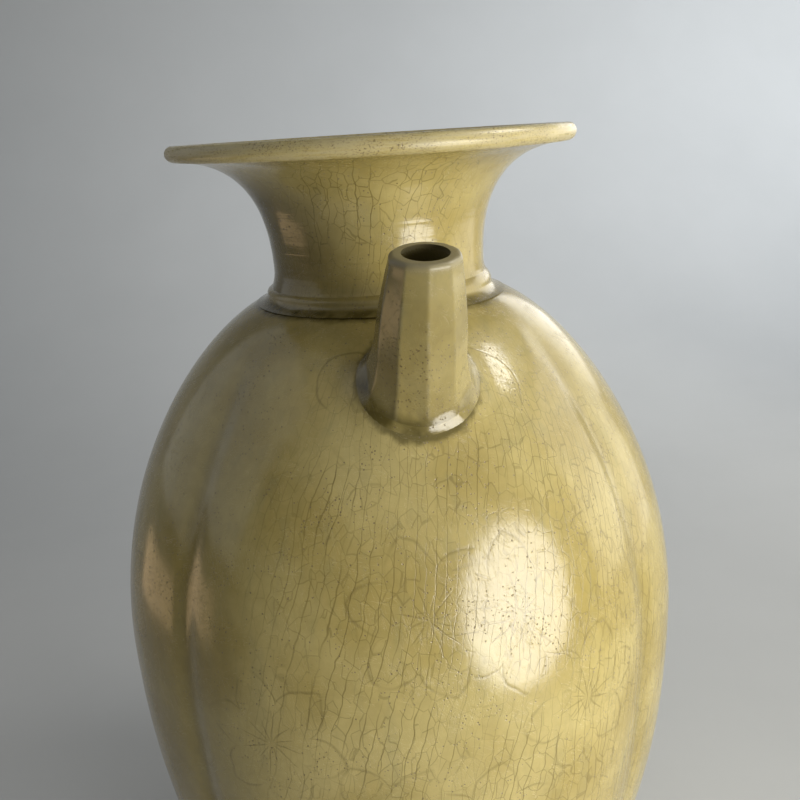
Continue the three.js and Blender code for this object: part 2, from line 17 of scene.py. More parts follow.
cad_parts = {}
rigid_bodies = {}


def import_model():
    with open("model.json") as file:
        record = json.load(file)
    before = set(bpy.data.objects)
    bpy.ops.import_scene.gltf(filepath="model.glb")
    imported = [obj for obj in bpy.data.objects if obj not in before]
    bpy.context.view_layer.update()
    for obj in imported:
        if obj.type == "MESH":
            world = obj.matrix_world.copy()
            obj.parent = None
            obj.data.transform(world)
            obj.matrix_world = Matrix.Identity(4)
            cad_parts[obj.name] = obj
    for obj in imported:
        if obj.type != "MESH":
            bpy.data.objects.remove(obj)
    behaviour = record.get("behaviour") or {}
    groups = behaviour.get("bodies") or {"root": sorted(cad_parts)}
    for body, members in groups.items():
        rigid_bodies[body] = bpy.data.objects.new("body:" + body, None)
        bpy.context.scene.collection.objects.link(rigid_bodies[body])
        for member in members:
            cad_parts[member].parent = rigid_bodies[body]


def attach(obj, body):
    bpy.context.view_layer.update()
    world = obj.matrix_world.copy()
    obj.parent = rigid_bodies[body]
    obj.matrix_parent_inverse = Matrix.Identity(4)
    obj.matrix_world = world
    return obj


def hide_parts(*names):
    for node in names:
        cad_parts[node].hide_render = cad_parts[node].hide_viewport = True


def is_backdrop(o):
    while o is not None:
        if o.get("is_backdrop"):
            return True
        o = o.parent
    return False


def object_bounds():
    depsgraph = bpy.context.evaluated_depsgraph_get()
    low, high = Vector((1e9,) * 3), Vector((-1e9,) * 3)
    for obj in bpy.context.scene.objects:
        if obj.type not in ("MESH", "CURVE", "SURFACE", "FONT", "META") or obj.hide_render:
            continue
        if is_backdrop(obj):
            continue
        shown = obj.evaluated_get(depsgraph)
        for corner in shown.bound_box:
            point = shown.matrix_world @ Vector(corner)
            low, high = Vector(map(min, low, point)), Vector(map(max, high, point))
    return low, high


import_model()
cad_low, cad_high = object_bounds()
MM = 0.001
RIM_Z = cad_high.z / MM


def rounded_mm(lengths, digits=1):
    return [round(length / MM, digits) for length in lengths]


print("CAD box in mm:", rounded_mm((*cad_low, *cad_high), 2))

# %% [markdown]
# ## The camera
# The photograph looks slightly down on the spout from close by. A pinhole camera was fitted to the ewer's
# outline: its distance from the axis, its height over the rim and three small turns. A close camera makes
# the mouth look wide against the belly, so the distance matters as much as the angle.

# %% Set up the camera
FRAME_PIXELS = 800
FOCAL_PIXELS = 869
SENSOR_WIDTH = 36.0
CAMERA_DISTANCE = 233.7
CAMERA_ABOVE_RIM = 1.0
CAMERA_AZIMUTH = math.radians(8.3)  # how far round from the spout the camera stands
CAMERA_PITCH = math.radians(17.36)
CAMERA_YAW = math.radians(0.82)
CAMERA_ROLL = math.radians(-3.57)


def camera_matrix():
    """The camera's place and turn in the ewer's frame."""
    ahead = Vector((
        math.sin(CAMERA_YAW) * math.cos(CAMERA_PITCH),
        math.cos(CAMERA_YAW) * math.cos(CAMERA_PITCH),
        -math.sin(CAMERA_PITCH),
    ))
    level = Vector((math.cos(CAMERA_YAW), -math.sin(CAMERA_YAW), 0.0))
    upward = level.cross(ahead)
    right = level * math.cos(CAMERA_ROLL) + upward * math.sin(CAMERA_ROLL)
    up = upward * math.cos(CAMERA_ROLL) - level * math.sin(CAMERA_ROLL)
    turned = Matrix((right, up, -ahead)).transposed().to_4x4()
    stand = Matrix.Translation(Vector((0.0, -CAMERA_DISTANCE, RIM_Z + CAMERA_ABOVE_RIM)) * MM)
    return Matrix.Rotation(-CAMERA_AZIMUTH, 4, "Z") @ stand @ turned


camera_data = bpy.data.cameras.new("photo_camera")
camera_data.sensor_width = SENSOR_WIDTH
camera_data.lens = FOCAL_PIXELS / FRAME_PIXELS * SENSOR_WIDTH
camera_data.clip_start = 10 * MM
camera = bpy.data.objects.new("photo_camera", camera_data)
camera.matrix_world = camera_matrix()
bpy.context.scene.collection.objects.link(camera)
bpy.context.scene.camera = camera
print("camera stands at mm", rounded_mm(camera.matrix_world.translation))

# %% [markdown]
# ## Helpers for nodes
# Geometry trees and shader trees are both built by code here. A node's output is kept as a Value, so a sum
# over the surface reads like any other sum: each sign adds a maths node to the tree that its values come
# from. Further functions add the few other nodes that the lesson uses, and each gives back the output that
# matters.

# %% Node helpers


class Value:
    """A node's output, for use in sums of numbers or of vectors."""

    def __init__(self, socket):
        self.socket = socket

    def also(self, output):
        """Another output of the same node."""
        return Value(self.socket.node.outputs[output])

    def scaled(self, factor):
        return add_node("ShaderNodeVectorMath", {0: self, "Scale": factor}, operation="SCALE")

    def __add__(self, other):
        return calculate("ADD", self, other)

    def __sub__(self, other):
        return calculate("SUBTRACT", self, other)

    def __rsub__(self, other):
        return calculate("SUBTRACT", other, self)

    def __mul__(self, other):
        return calculate("MULTIPLY", self, other)

    def __truediv__(self, other):
        return calculate("DIVIDE", self, other)

    def __rtruediv__(self, other):
        return calculate("DIVIDE", other, self)

    def __pow__(self, other):
        return calculate("POWER", self, other)

    def __neg__(self):
        return self * -1.0

    def __abs__(self):
        return maths("ABSOLUTE", self)


def feed(socket, value):
    """Joins a socket to another node's output, or sets it to a plain value."""
    if isinstance(value, Value):
        socket.id_data.links.new(value.socket, socket)
    else:
        socket.default_value = value


def add_node(kind, inputs, output=0, tree=None, **settings):
    """Adds a node to the tree of its inputs, or to a given one, and gives back one of its outputs."""
    tree = tree or next(value.socket.id_data for value in inputs.values() if isinstance(value, Value))
    node = tree.nodes.new(kind)
    for name, setting in settings.items():
        setattr(node, name, setting)
    for name, value in inputs.items():
        feed(node.inputs[name], value)
    return Value(node.outputs[output])


def maths(operation, *values, clamp=False):
    return add_node("ShaderNodeMath", dict(enumerate(values)), operation=operation, use_clamp=clamp)


def vectors(operation, *values, tree=None):
    output = "Value" if operation in ("DOT_PRODUCT", "LENGTH", "DISTANCE") else "Vector"
    return add_node("ShaderNodeVectorMath", dict(enumerate(values)), output, tree, operation=operation)


def calculate(operation, *values):
    """A sum of vectors if one of the two values is a vector or a colour, and otherwise of numbers."""
    of_vectors = any(
        value.socket.type in ("VECTOR", "RGBA") if isinstance(value, Value) else isinstance(value, tuple)
        for value in values)
    return vectors(operation, *values) if of_vectors else maths(operation, *values)


def linear(value, slope, offset):
    return maths("MULTIPLY_ADD", value, slope, offset)


def wrap(turn, half):
    """A turn brought back to between minus half and half."""
    return maths("WRAP", turn, half, half * -1.0)


def bell(value, sharpness=1.0):
    """A bell curve: 1 at nought, falling off to both sides."""
    return maths("EXPONENT", value ** 2.0 * -sharpness)


def hypotenuse(x, y):
    return maths("SQRT", x ** 2.0 + y ** 2.0)


def remap(value, low, high, to_low=0.0, to_high=1.0, smooth=False):
    """A value's place between low and high, as a value between to_low and to_high."""
    return add_node("ShaderNodeMapRange", dict(enumerate((value, low, high, to_low, to_high))),
                    interpolation_type="SMOOTHSTEP" if smooth else "LINEAR")


def combine(x, y, z):
    return add_node("ShaderNodeCombineXYZ", {0: x, 1: y, 2: z})


def noise(point, scale, detail=2.0, roughness=0.5, output="Fac"):
    inputs = {"Vector": point, "Scale": scale, "Detail": detail, "Roughness": roughness}
    return add_node("ShaderNodeTexNoise", inputs, output)


def blend(factor, low, high):
    """Mixes two colours."""
    return add_node("ShaderNodeMix", {"Factor": factor, 6: low, 7: high}, 2, data_type="RGBA")


def start_tree(name, kind, inputs, outputs):
    """A node tree with named inputs and outputs. An input is given by its default, or else by its kind."""
    tree = bpy.data.node_groups.new(name, kind)
    for label, default in inputs.items():
        bare = isinstance(default, str)
        socket_kind = default if bare else {int: "Int", float: "Float", Vector: "Vector"}[type(default)]
        socket = tree.interface.new_socket(name=label, in_out="INPUT", socket_type=f"NodeSocket{socket_kind}")
        if not bare:
            socket.default_value = default
    for label, socket_kind in outputs.items():
        tree.interface.new_socket(name=label, in_out="OUTPUT", socket_type=f"NodeSocket{socket_kind}")
    given = {socket.name: Value(socket) for socket in tree.nodes.new("NodeGroupInput").outputs}
    return tree, given, tree.nodes.new("NodeGroupOutput").inputs


# %% [markdown]
# ## Helpers for shapes
# Most pieces of the ewer come off a wheel, so an outline swung round the axis makes them. An outline is a
# list of (distance from the axis, height). Its curves are Bezier curves, drawn from a few named points and
# directions.

# %% Outline and mesh helpers
SHARP_FROM = math.radians(60)  # edges that turn further than this stay sharp


def step_from(point, degrees, length):
    turn = math.radians(degrees)
    return (point[0] + length * math.cos(turn), point[1] + length * math.sin(turn))


def bezier(corners, steps):
    """Points on a quadratic or cubic Bezier curve, given by three or four corners."""
    degree = len(corners) - 1
    points = []
    for i in range(steps + 1):
        t = i / steps
        weights = [math.comb(degree, k) * (1 - t) ** (degree - k) * t ** k for k in range(degree + 1)]
        points.append(tuple(sum(w * c for w, c in zip(weights, axis)) for axis in zip(*corners)))
    return points


def offset_outline(points, distance):
    """An outline moved sideways, to the left of the way it runs."""
    moved = []
    for i, (x, y) in enumerate(points):
        before, after = points[max(i - 1, 0)], points[min(i + 1, len(points) - 1)]
        along = Vector((after[0] - before[0], after[1] - before[1])).normalized()
        moved.append((x - along.y * distance, y + along.x * distance))
    return moved


def radius_at(outline, height):
    """Distance from the axis at which an outline first passes a height."""
    for (x0, y0), (x1, y1) in zip(outline, outline[1:]):
        if (y0 - height) * (y1 - height) <= 0 and y0 != y1:
            return x0 + (x1 - x0) * (height - y0) / (y1 - y0)
    return 0.0


def limited(value, low=0.0, high=1.0):
    return min(max(value, low), high)


def smoothstep(low, high, value):
    share = limited((value - low) / (high - low))
    return share * share * (3 - 2 * share)


def link_mesh(name, points, faces):
    """A smooth mesh object from points in millimetres."""
    mesh = bpy.data.meshes.new(name)
    mesh.from_pydata([Vector(point) * MM for point in points], [], faces)
    mesh.shade_smooth()
    mesh.set_sharp_from_angle(angle=SHARP_FROM)
    mesh.validate()
    piece = bpy.data.objects.new(name, mesh)
    bpy.context.scene.collection.objects.link(piece)
    return piece


def ring_skin(rings, endless=False):
    """Points and faces of a skin over rings of equally many points, joined last to first if endless."""
    count = len(rings[0])
    points = [point for ring in rings for point in ring]
    faces = []
    for row in range(len(rings) if endless else len(rings) - 1):
        here, there = row * count, (row + 1) % len(rings) * count
        for i in range(count):
            j = (i + 1) % count
            faces.append((here + i, here + j, there + j, there + i))
    return points, faces


def swing(name, profile_at, columns):
    """A closed profile swung round the axis. Where it starts and ends on the axis, each pole is one point."""
    profiles = [profile_at(2 * math.pi * i / columns) for i in range(columns)]
    rows = len(profiles[0])
    poled = profiles[0][0][0] == 0.0
    first, last = (1, rows - 1) if poled else (0, rows)
    rings = []
    for row in range(first, last):
        rings.append([
            (profiles[i][row][0] * math.sin(2 * math.pi * i / columns),
             -profiles[i][row][0] * math.cos(2 * math.pi * i / columns),
             profiles[i][row][1])
            for i in range(columns)
        ])
    points, faces = ring_skin(rings, endless=not poled)
    if poled:
        for end, row in ((0, 0), (-1, len(rings) - 1)):
            pole = len(points)
            points.append((0.0, 0.0, profiles[0][end][1]))
            for i in range(columns):
                a, b = row * columns + i, row * columns + (i + 1) % columns
                faces.append((pole, b, a) if end == 0 else (pole, a, b))
    return link_mesh(name, points, faces)


def apply_modifiers(piece):
    """Keeps what the live modifiers show as a plain mesh, and takes them off."""
    shown = piece.evaluated_get(bpy.context.evaluated_depsgraph_get())
    mesh = bpy.data.meshes.new_from_object(shown)
    if piece.type == "MESH":
        piece.modifiers.clear()
        piece.data = mesh
        mesh.name = piece.name
        return piece
    name = piece.name
    bpy.data.objects.remove(piece)
    plain = bpy.data.objects.new(name, mesh)
    bpy.context.scene.collection.objects.link(plain)
    return plain


def count_triangles(piece):
    return sum(len(face.vertices) - 2 for face in piece.data.polygons)


# %% Geometry Nodes helpers


def note_value(geometry, name, value):
    """Keeps a value with every point of the mesh, for the finish to read."""
    inputs = {"Geometry": geometry, "Name": name, "Value": value}
    return add_node("GeometryNodeStoreNamedAttribute", inputs, data_type="FLOAT")


def named_attribute(tree, name, kind="FLOAT"):
    return add_node("GeometryNodeInputNamedAttribute", {"Name": name}, "Attribute", tree, data_type=kind)


def finish_tree(geometry, material, result):
    """The last nodes of every tree: real geometry with its material."""
    real = add_node("GeometryNodeRealizeInstances", {0: geometry})
    feed(result, add_node("GeometryNodeSetMaterial", {"Geometry": real, "Material": material}))


def run_tree(piece, tree, **values):
    """Puts a tree on a piece and sets its inputs, looked up by name and set by identifier."""
    modifier = piece.modifiers.new(tree.name, "NODES")
    modifier.node_group = tree
    wanted = {name.replace("_", " ").title(): value for name, value in values.items()}
    for item in tree.interface.items_tree:
        if item.item_type == "SOCKET" and item.in_out == "INPUT" and item.name in wanted:
            modifier[item.identifier] = wanted.pop(item.name)
    if wanted:
        raise ValueError(f"no such inputs: {sorted(wanted)}")


# %% [markdown]
# ## The body
# The body is thrown on the wheel as a round ovoid, and while the wall is still soft four furrows are
# pressed down its side, which turn it into four lobes. It could be sculpted or drawn as a lobed section,
# but the making order is also the easiest way to model it: a smooth turned shell first, and then a Geometry
# Nodes tree that presses the furrows by a rule. Each furrow is a narrow crease inside a wide shallow
# trough, fading out under the shoulder and above the foot. The wheel leaves a slight wobble in the wall,
# which keeps long reflections from looking machined.

# %% Throw the body
BODY_Z = 6.0
BELLY_Z = 110.6
SHOULDER_Z = 200.0
FOOT_RADIUS = 44.0
BELLY_RADIUS = 77.4
SHOULDER_SEAT_RADIUS = 30.0
BODY_WALL = 4.5
BODY_FLOOR = 5.0
BORE_RADIUS = 23.7
SHOULDER_FALL = -15.8  # the outline's direction at the seat, in degrees from level
SHOULDER_PULL = 18  # how far each end's direction holds on, in mm
BELLY_PULL_UP = 49
BELLY_PULL_DOWN = 44
FOOT_RISE = 35
FOOT_PULL = 30
OUTSIDE_STEPS = 86
INSIDE_STEPS = 26
BODY_COLUMNS = 320


def body_outline(steps):
    seat = (SHOULDER_SEAT_RADIUS, SHOULDER_Z)
    belly = (BELLY_RADIUS, BELLY_Z)
    foot = (FOOT_RADIUS, BODY_Z)
    from_seat = step_from(seat, SHOULDER_FALL, SHOULDER_PULL)
    from_foot = step_from(foot, FOOT_RISE, FOOT_PULL)
    upper = bezier([seat, from_seat, step_from(belly, 90, BELLY_PULL_UP), belly], steps)
    lower = bezier([belly, step_from(belly, -90, BELLY_PULL_DOWN), from_foot, foot], steps)
    return upper + lower[1:]


def body_profile():
    """From the middle of the base up the outside, over the seat and down the inside to the floor's middle."""
    outside = body_outline(OUTSIDE_STEPS)[::-1]
    floor = BODY_Z + BODY_FLOOR
    wall = offset_outline(body_outline(INSIDE_STEPS), -BODY_WALL)
    inside = [(max(r, BORE_RADIUS), max(z, floor)) for r, z in wall]
    base = [(0.0, BODY_Z), (20.0, BODY_Z), (36.0, BODY_Z), (43.0, BODY_Z)]
    seat = [(27.0, SHOULDER_Z), (BORE_RADIUS + 0.4, SHOULDER_Z), (BORE_RADIUS, SHOULDER_Z - 0.4)]
    return base + outside + seat + inside + [(20.0, floor), (0.0, floor)]


thrown_profile = body_profile()
body = swing("body_glazed", lambda turn: thrown_profile, BODY_COLUMNS)
print("thrown body:", count_triangles(body), "triangles")

# %% Press the furrows
FURROW_AZIMUTHS = (-51.5, 44.5, 135.5, 228.5)  # degrees from the spout
FURROW_SPREAD = 3.0
FURROW_DEPTH = 0.9
FURROW_HALF_WIDTH = 3.6
TROUGH_DEPTH = 1.5
TROUGH_HALF_WIDTH = 14.0
FURROW_TOP_FADE = 26.0
FURROW_FOOT_FADE = 30.0
WOBBLE = 0.25
WOBBLE_SCALE = 0.022
WOBBLE_FROM = (24.0, 34.0)  # radii between which the wobble comes up


def press_furrows_tree():
    tree, given, result = start_tree("press_furrows", "GeometryNodeTree", {
        "Geometry": "Geometry",
        "Furrow Depth": FURROW_DEPTH,
        "Furrow Half Width": FURROW_HALF_WIDTH,
        "Trough Depth": TROUGH_DEPTH,
        "Trough Half Width": TROUGH_HALF_WIDTH,
        "Top Fade": FURROW_TOP_FADE,
        "Foot Fade": FURROW_FOOT_FADE,
        "Wobble": WOBBLE,
        "Material": "Material",
    }, {"Geometry": "Geometry"})
    position = add_node("GeometryNodeInputPosition", {}, tree=tree)
    in_mm = position.scaled(1 / MM)
    x = add_node("ShaderNodeSeparateXYZ", {0: in_mm})
    y, z = x.also(1), x.also(2)
    radius = hypotenuse(x, y)
    azimuth = maths("ARCTAN2", x, -y)
    rise = remap(z, 2 * BELLY_Z - SHOULDER_Z, SHOULDER_Z, -1.0, 1.0)
    dip = crease = 0.0
    for k, degrees in enumerate(FURROW_AZIMUTHS):
        lean = math.radians(FURROW_SPREAD) * (-1 if k % 2 == 0 else 1)
        place = linear(rise, lean, math.radians(degrees))
        away = wrap(azimuth - place, math.pi) * radius
        narrow = bell(away / given["Furrow Half Width"])
        wide = bell(away / given["Trough Half Width"])
        dip = linear(wide, given["Trough Depth"], linear(narrow, given["Furrow Depth"], dip))
        crease = narrow + crease
    from_top = remap(SHOULDER_Z - z, 0.0, given["Top Fade"], smooth=True)
    from_foot = remap(z - BODY_Z, 0.0, given["Foot Fade"], smooth=True)
    fade = from_top * from_foot
    unround = noise(in_mm, WOBBLE_SCALE, 1.0) * given["Wobble"] * remap(radius, *WOBBLE_FROM)
    dip = dip * fade + unround
    inward = vectors("NORMALIZE", position * (1.0, 1.0, 0.0)).scaled(dip * -MM)
    noted = note_value(given["Geometry"], "furrow", crease * fade)
    pressed = add_node("GeometryNodeSetPosition", {"Geometry": noted, "Offset": inward})
    finish_tree(pressed, given["Material"], result["Geometry"])
    return tree


body_glaze = bpy.data.materials.new("body_glaze")
run_tree(body, press_furrows_tree(), furrow_depth=FURROW_DEPTH, trough_depth=TROUGH_DEPTH, wobble=WOBBLE,
         material=body_glaze)
body = apply_modifiers(body)
print("pressed body:", rounded_mm(body.dimensions), "mm")

# %% [markdown]
# ## The neck
# The neck is thrown apart from the body, upside down, and joined on when both are leather hard. It is a
# trumpet: a slim waist, a wide, nearly level mouth and a rounded lip band that stands out over its
# underside with a soft edge. It is swung from one closed outline too, but the potter trimmed the lip by
# hand, so its band is thickest in front and thinner on one side. The outline is therefore worked out anew
# for every column.

# %% Throw the neck
NECK_Z = 202.0
NECK_WALL = 4.2
NECK_FOOT_RADIUS = 29.4
WAIST_RADIUS = 27.9
WAIST_HEIGHT = 5.2
RIM_RADIUS = 51.95
LIP_OVERHANG = 2.0
LIP_TOP_WIDTH = 3.4
LIP_THICK = 4.35
LIP_THIN = 3.5
LIP_THICK_TURN = math.radians(20)  # where round the rim, from the spout, the band is thickest
WAIST_PULL = 15.2  # how far the waist's upright direction holds on, in mm
UNDER_LIP_RISE = 183  # the outline's direction under the lip, in degrees from level
UNDER_LIP_PULL = 17.2
NECK_COLUMNS = 288


def neck_outline(lip_height, steps):
    foot = (NECK_FOOT_RADIUS, NECK_Z)
    waist = (WAIST_RADIUS, NECK_Z + WAIST_HEIGHT)
    under_lip = (RIM_RADIUS - LIP_OVERHANG, RIM_Z - lip_height)
    from_lip = step_from(under_lip, UNDER_LIP_RISE, UNDER_LIP_PULL)
    flare = bezier([foot, (WAIST_RADIUS, NECK_Z + WAIST_HEIGHT / 2), waist], 12)
    trumpet = bezier([waist, step_from(waist, 90, WAIST_PULL), from_lip, under_lip], steps)
    return flare + trumpet[1:]


def neck_profile(turn):
    share = 0.5 + 0.5 * math.cos(turn - LIP_THICK_TURN)
    lip_height = LIP_THIN + (LIP_THICK - LIP_THIN) * share
    outside = neck_outline(lip_height, 64)
    lip = []
    for i in range(19):
        a = math.radians(-78 + 168 * i / 18)
        lip.append((RIM_RADIUS - LIP_OVERHANG + LIP_OVERHANG * math.cos(a),
                    RIM_Z - lip_height / 2 + lip_height / 2 * math.sin(a)))
    top = [(RIM_RADIUS - LIP_TOP_WIDTH, RIM_Z - 0.05), (RIM_RADIUS - LIP_TOP_WIDTH - 1.0, RIM_Z - 0.5)]
    throat = offset_outline(neck_outline(LIP_THICK, 40), NECK_WALL)
    throat = [p for p in throat[13:] if p[0] < RIM_RADIUS - LIP_TOP_WIDTH - 1.6][::-1]
    well = [(BORE_RADIUS, NECK_Z + WAIST_HEIGHT - 2), (BORE_RADIUS, NECK_Z + 1.0),
            (BORE_RADIUS + 0.3, NECK_Z)]
    seat = [(NECK_FOOT_RADIUS - 0.3, NECK_Z)]
    return outside + lip + top + throat + well + seat


neck = swing("neck_glazed", neck_profile, NECK_COLUMNS)
print("neck:", count_triangles(neck), "triangles,", rounded_mm(neck.dimensions), "mm")

# %% [markdown]
# ## Where the surfaces are
# The spout, the handle and their lutings are fitted to the body and the neck. To fit them, the lesson needs
# to know whether a point is inside the body, and where on the body a point would land. The furrow rule is
# written once more in plain Python for this, with the same values as the tree.

# %% The body's surface in numbers
fine_outline = body_outline(200)
fine_neck = neck_outline(LIP_THICK, 200)
SPOUT_SEAT_RADIUS = 48.5
SPOUT_LEAN = math.radians(27)
MOUND_HEIGHT = 1.25
MOUND_RADIUS = 12.2
MOUND_HALF_WIDTH = 3.9

spout_axis = Vector((0, -math.sin(SPOUT_LEAN), math.cos(SPOUT_LEAN)))
seat_height = next(z for r, z in fine_outline if r >= SPOUT_SEAT_RADIUS)
spout_seat = Vector((0, -SPOUT_SEAT_RADIUS, seat_height))


def mound_at(point):
    """How far the clay stands up round the spout's foot, beside the luting that was pressed down."""
    away = (point - spout_seat).cross(spout_axis).length
    return MOUND_HEIGHT * math.exp(-(((away - MOUND_RADIUS) / MOUND_HALF_WIDTH) ** 2))


def furrow_shares(azimuth, height, radius):
    """How much of the narrow crease and of the wide trough is pressed at a place, from 0 to 1 each."""
    rise = limited((height - BELLY_Z) / (SHOULDER_Z - BELLY_Z), -1.0)
    fade = smoothstep(0, FURROW_TOP_FADE, SHOULDER_Z - height)
    fade *= smoothstep(0, FURROW_FOOT_FADE, height - BODY_Z)
    crease = trough = 0.0
    for k, degrees in enumerate(FURROW_AZIMUTHS):
        place = math.radians(degrees + FURROW_SPREAD * rise * (-1 if k % 2 == 0 else 1))
        away = ((azimuth - place + math.pi) % (2 * math.pi) - math.pi) * radius
        crease += math.exp(-((away / FURROW_HALF_WIDTH) ** 2))
        trough += math.exp(-((away / TROUGH_HALF_WIDTH) ** 2))
    return crease * fade, trough * fade


def depth_in_body(point):
    """How far a point is inside the body's wall, measured level; less than nothing is outside."""
    radius = radius_at(fine_outline, point.z)
    azimuth = math.atan2(point.x, -point.y)
    crease, trough = furrow_shares(azimuth, point.z, radius)
    slope = radius_at(fine_outline, point.z - 0.5) - radius_at(fine_outline, point.z + 0.5)
    mound = mound_at(point) * math.hypot(1.0, slope) if point.y < 0 else 0.0
    return radius - FURROW_DEPTH * crease - TROUGH_DEPTH * trough + mound - math.hypot(point.x, point.y)


def depth_in_neck(point):
    return radius_at(fine_neck, point.z) - math.hypot(point.x, point.y)


def crossing(point_at, outside, inside, depth_at):
    """The value between outside and inside at which a line of points enters a surface."""
    for _ in range(40):
        middle = (outside + inside) / 2
        if depth_at(point_at(middle)) > 0:
            inside = middle
        else:
            outside = middle
    return outside


def landing(point, depth_at, normal):
    """The place on a surface above or below a point, along a normal."""
    share = crossing(lambda s: point + normal * s, 12.0, -12.0, depth_at)
    return point + normal * share


def surface_normal(point, depth_at):
    step = 0.05
    slope = [depth_at(point + Vector(axis) * step) - depth_at(point - Vector(axis) * step)
             for axis in ((1, 0, 0), (0, 1, 0), (0, 0, 1))]
    return -Vector(slope).normalized()


front = Vector((0, -BELLY_RADIUS, BELLY_Z))
print("belly's wall in front is", round(BELLY_RADIUS + depth_in_body(front), 2), "mm from the axis")

# %% Raise the mound round the spout's foot and cut the hole behind it
SPOUT_HOLE_RADIUS = 5.8
SPOUT_HOLE_LENGTH = 34.0
MOUND_ENDS = (34.0, 26.0)  # distances from the seat between which the mound comes up
ROD_SIDES = 64


def raise_mound_tree():
    tree, given, result = start_tree("raise_mound", "GeometryNodeTree", {
        "Geometry": "Geometry",
        "Seat": spout_seat,
        "Axis": spout_axis,
        "Height": MOUND_HEIGHT,
        "Radius": MOUND_RADIUS,
        "Half Width": MOUND_HALF_WIDTH,
        "Material": "Material",
    }, {"Geometry": "Geometry"})
    in_mm = add_node("GeometryNodeInputPosition", {}, tree=tree).scaled(1 / MM)
    from_seat = in_mm - given["Seat"]
    away = vectors("LENGTH", vectors("CROSS_PRODUCT", from_seat, given["Axis"]))
    swell = bell((away - given["Radius"]) / given["Half Width"]) * given["Height"]
    rise = swell * remap(vectors("LENGTH", from_seat), *MOUND_ENDS)
    lift = add_node("GeometryNodeInputNormal", {}, "Normal", tree).scaled(rise * MM)
    noted = note_value(given["Geometry"], "spout_away", away)
    raised = add_node("GeometryNodeSetPosition", {"Geometry": noted, "Offset": lift})
    finish_tree(raised, given["Material"], result["Geometry"])
    return tree


def cutting_rod(name, centre, axis, radius, length):
    """A round rod for a boolean cut."""
    side = axis.orthogonal().normalized()
    other = axis.cross(side)
    rings = []
    for along in (-length / 2, length / 2):
        rings.append([centre + axis * along + (side * math.cos(a) + other * math.sin(a)) * radius
                      for a in (2 * math.pi * i / ROD_SIDES for i in range(ROD_SIDES))])
    points, faces = ring_skin(rings)
    faces += [tuple(range(ROD_SIDES - 1, -1, -1)), tuple(range(ROD_SIDES, 2 * ROD_SIDES))]
    return link_mesh(name, points, faces)


run_tree(body, raise_mound_tree(), height=MOUND_HEIGHT, radius=MOUND_RADIUS, half_width=MOUND_HALF_WIDTH,
         material=body_glaze)
rod = cutting_rod("spout_hole", spout_seat, spout_axis, SPOUT_HOLE_RADIUS, SPOUT_HOLE_LENGTH)
cut = body.modifiers.new("spout_hole", "BOOLEAN")
cut.object = rod
cut.solver = "EXACT"
body = apply_modifiers(body)
bpy.data.objects.remove(rod)
print("body with its mound and hole:", count_triangles(body), "triangles")

# %% [markdown]
# ## The spout
# The spout is a short tapered tube, pared with a knife into ten flat facets while the clay was stiff, then
# cut off nearly level at its mouth. The knife drifted as it was drawn up, so the edges between the facets
# turn a little. The tube is lofted round first, bore and lip included. A Geometry Nodes tree then pares it:
# it reads each point's bearing round the axis and pulls it in to the nearest facet. The number of facets,
# their turn at each end and the softness of the edges stay inputs of the tree.

# %% Loft the spout
SPOUT_LENGTH = 34.1
SPOUT_MOUTH_RADIUS = 7.3
SPOUT_ROOT_RADIUS = 10.6
SPOUT_SWELL = 0.8
SPOUT_MOUTH_TILT = math.radians(11.5)
SPOUT_BORE_RADIUS = 4.9
SPOUT_BORE_ROOT_RADIUS = 5.8
SPOUT_FACETS = 10
SPOUT_ROOT_TURN = math.radians(-0.5)
SPOUT_MOUTH_TURN = math.radians(-7.5)
SPOUT_COLUMNS = 240


def spout_centre(along):
    return spout_seat + spout_axis * along


def spout_point(along, bearing, radius):
    """A point by its distance above the seat. Sections lean over, from square there to the mouth's cut."""
    share = limited(along / SPOUT_LENGTH)
    tilt = SPOUT_LEAN + (SPOUT_MOUTH_TILT - SPOUT_LEAN) * share
    outward = Vector((0, -math.cos(tilt), -math.sin(tilt)))
    stretch = radius * math.cos(bearing) / math.cos(SPOUT_LEAN - tilt)
    return spout_centre(along) + outward * stretch + Vector((radius * math.sin(bearing), 0, 0))


def spout_radius(along):
    share = limited(along / SPOUT_LENGTH, -1.0)
    taper = SPOUT_ROOT_RADIUS + (SPOUT_MOUTH_RADIUS - SPOUT_ROOT_RADIUS) * share
    return taper + (SPOUT_SWELL * math.sin(math.pi * share) if share > 0 else 0.0)


def bore_radius(along):
    share = limited(along / SPOUT_LENGTH)
    return SPOUT_BORE_ROOT_RADIUS + (SPOUT_BORE_RADIUS - SPOUT_BORE_ROOT_RADIUS) * share


SPOUT_BELOW = 3.0  # how far the tube runs on into the shoulder's wall, where the luting hides its end
SPOUT_FLARE_RISE = 12.0
SPOUT_SIDE_FLARE = 2.3
SPOUT_FRONT_FLARE = 0.9
SPOUT_LIP_ROUND = 1.15
SPOUT_LOWEST = -14.0  # a place along the spout's axis that is surely inside the body
SPOUT_INNER_ROUND = 0.7
SPOUT_OUTSIDE_BELOW = 2.0  # how much further down the outside runs than the bore
SPOUT_ROWS = 80
BORE_ROWS = 20


def root_along(bearing):
    """Where the shaft enters the shoulder at a bearing, as distance above the seat."""
    return crossing(lambda s: spout_point(s, bearing, SPOUT_ROOT_RADIUS), SPOUT_LENGTH / 2, SPOUT_LOWEST,
                    depth_in_body)


ROOT_STEPS = 72
root_table = [root_along(2 * math.pi * i / ROOT_STEPS) for i in range(ROOT_STEPS)]


def rise_over_root(along, bearing):
    place = bearing / (2 * math.pi) * ROOT_STEPS % ROOT_STEPS
    k = int(place)
    root = root_table[k] + (root_table[(k + 1) % ROOT_STEPS] - root_table[k]) * (place - k)
    return along - root


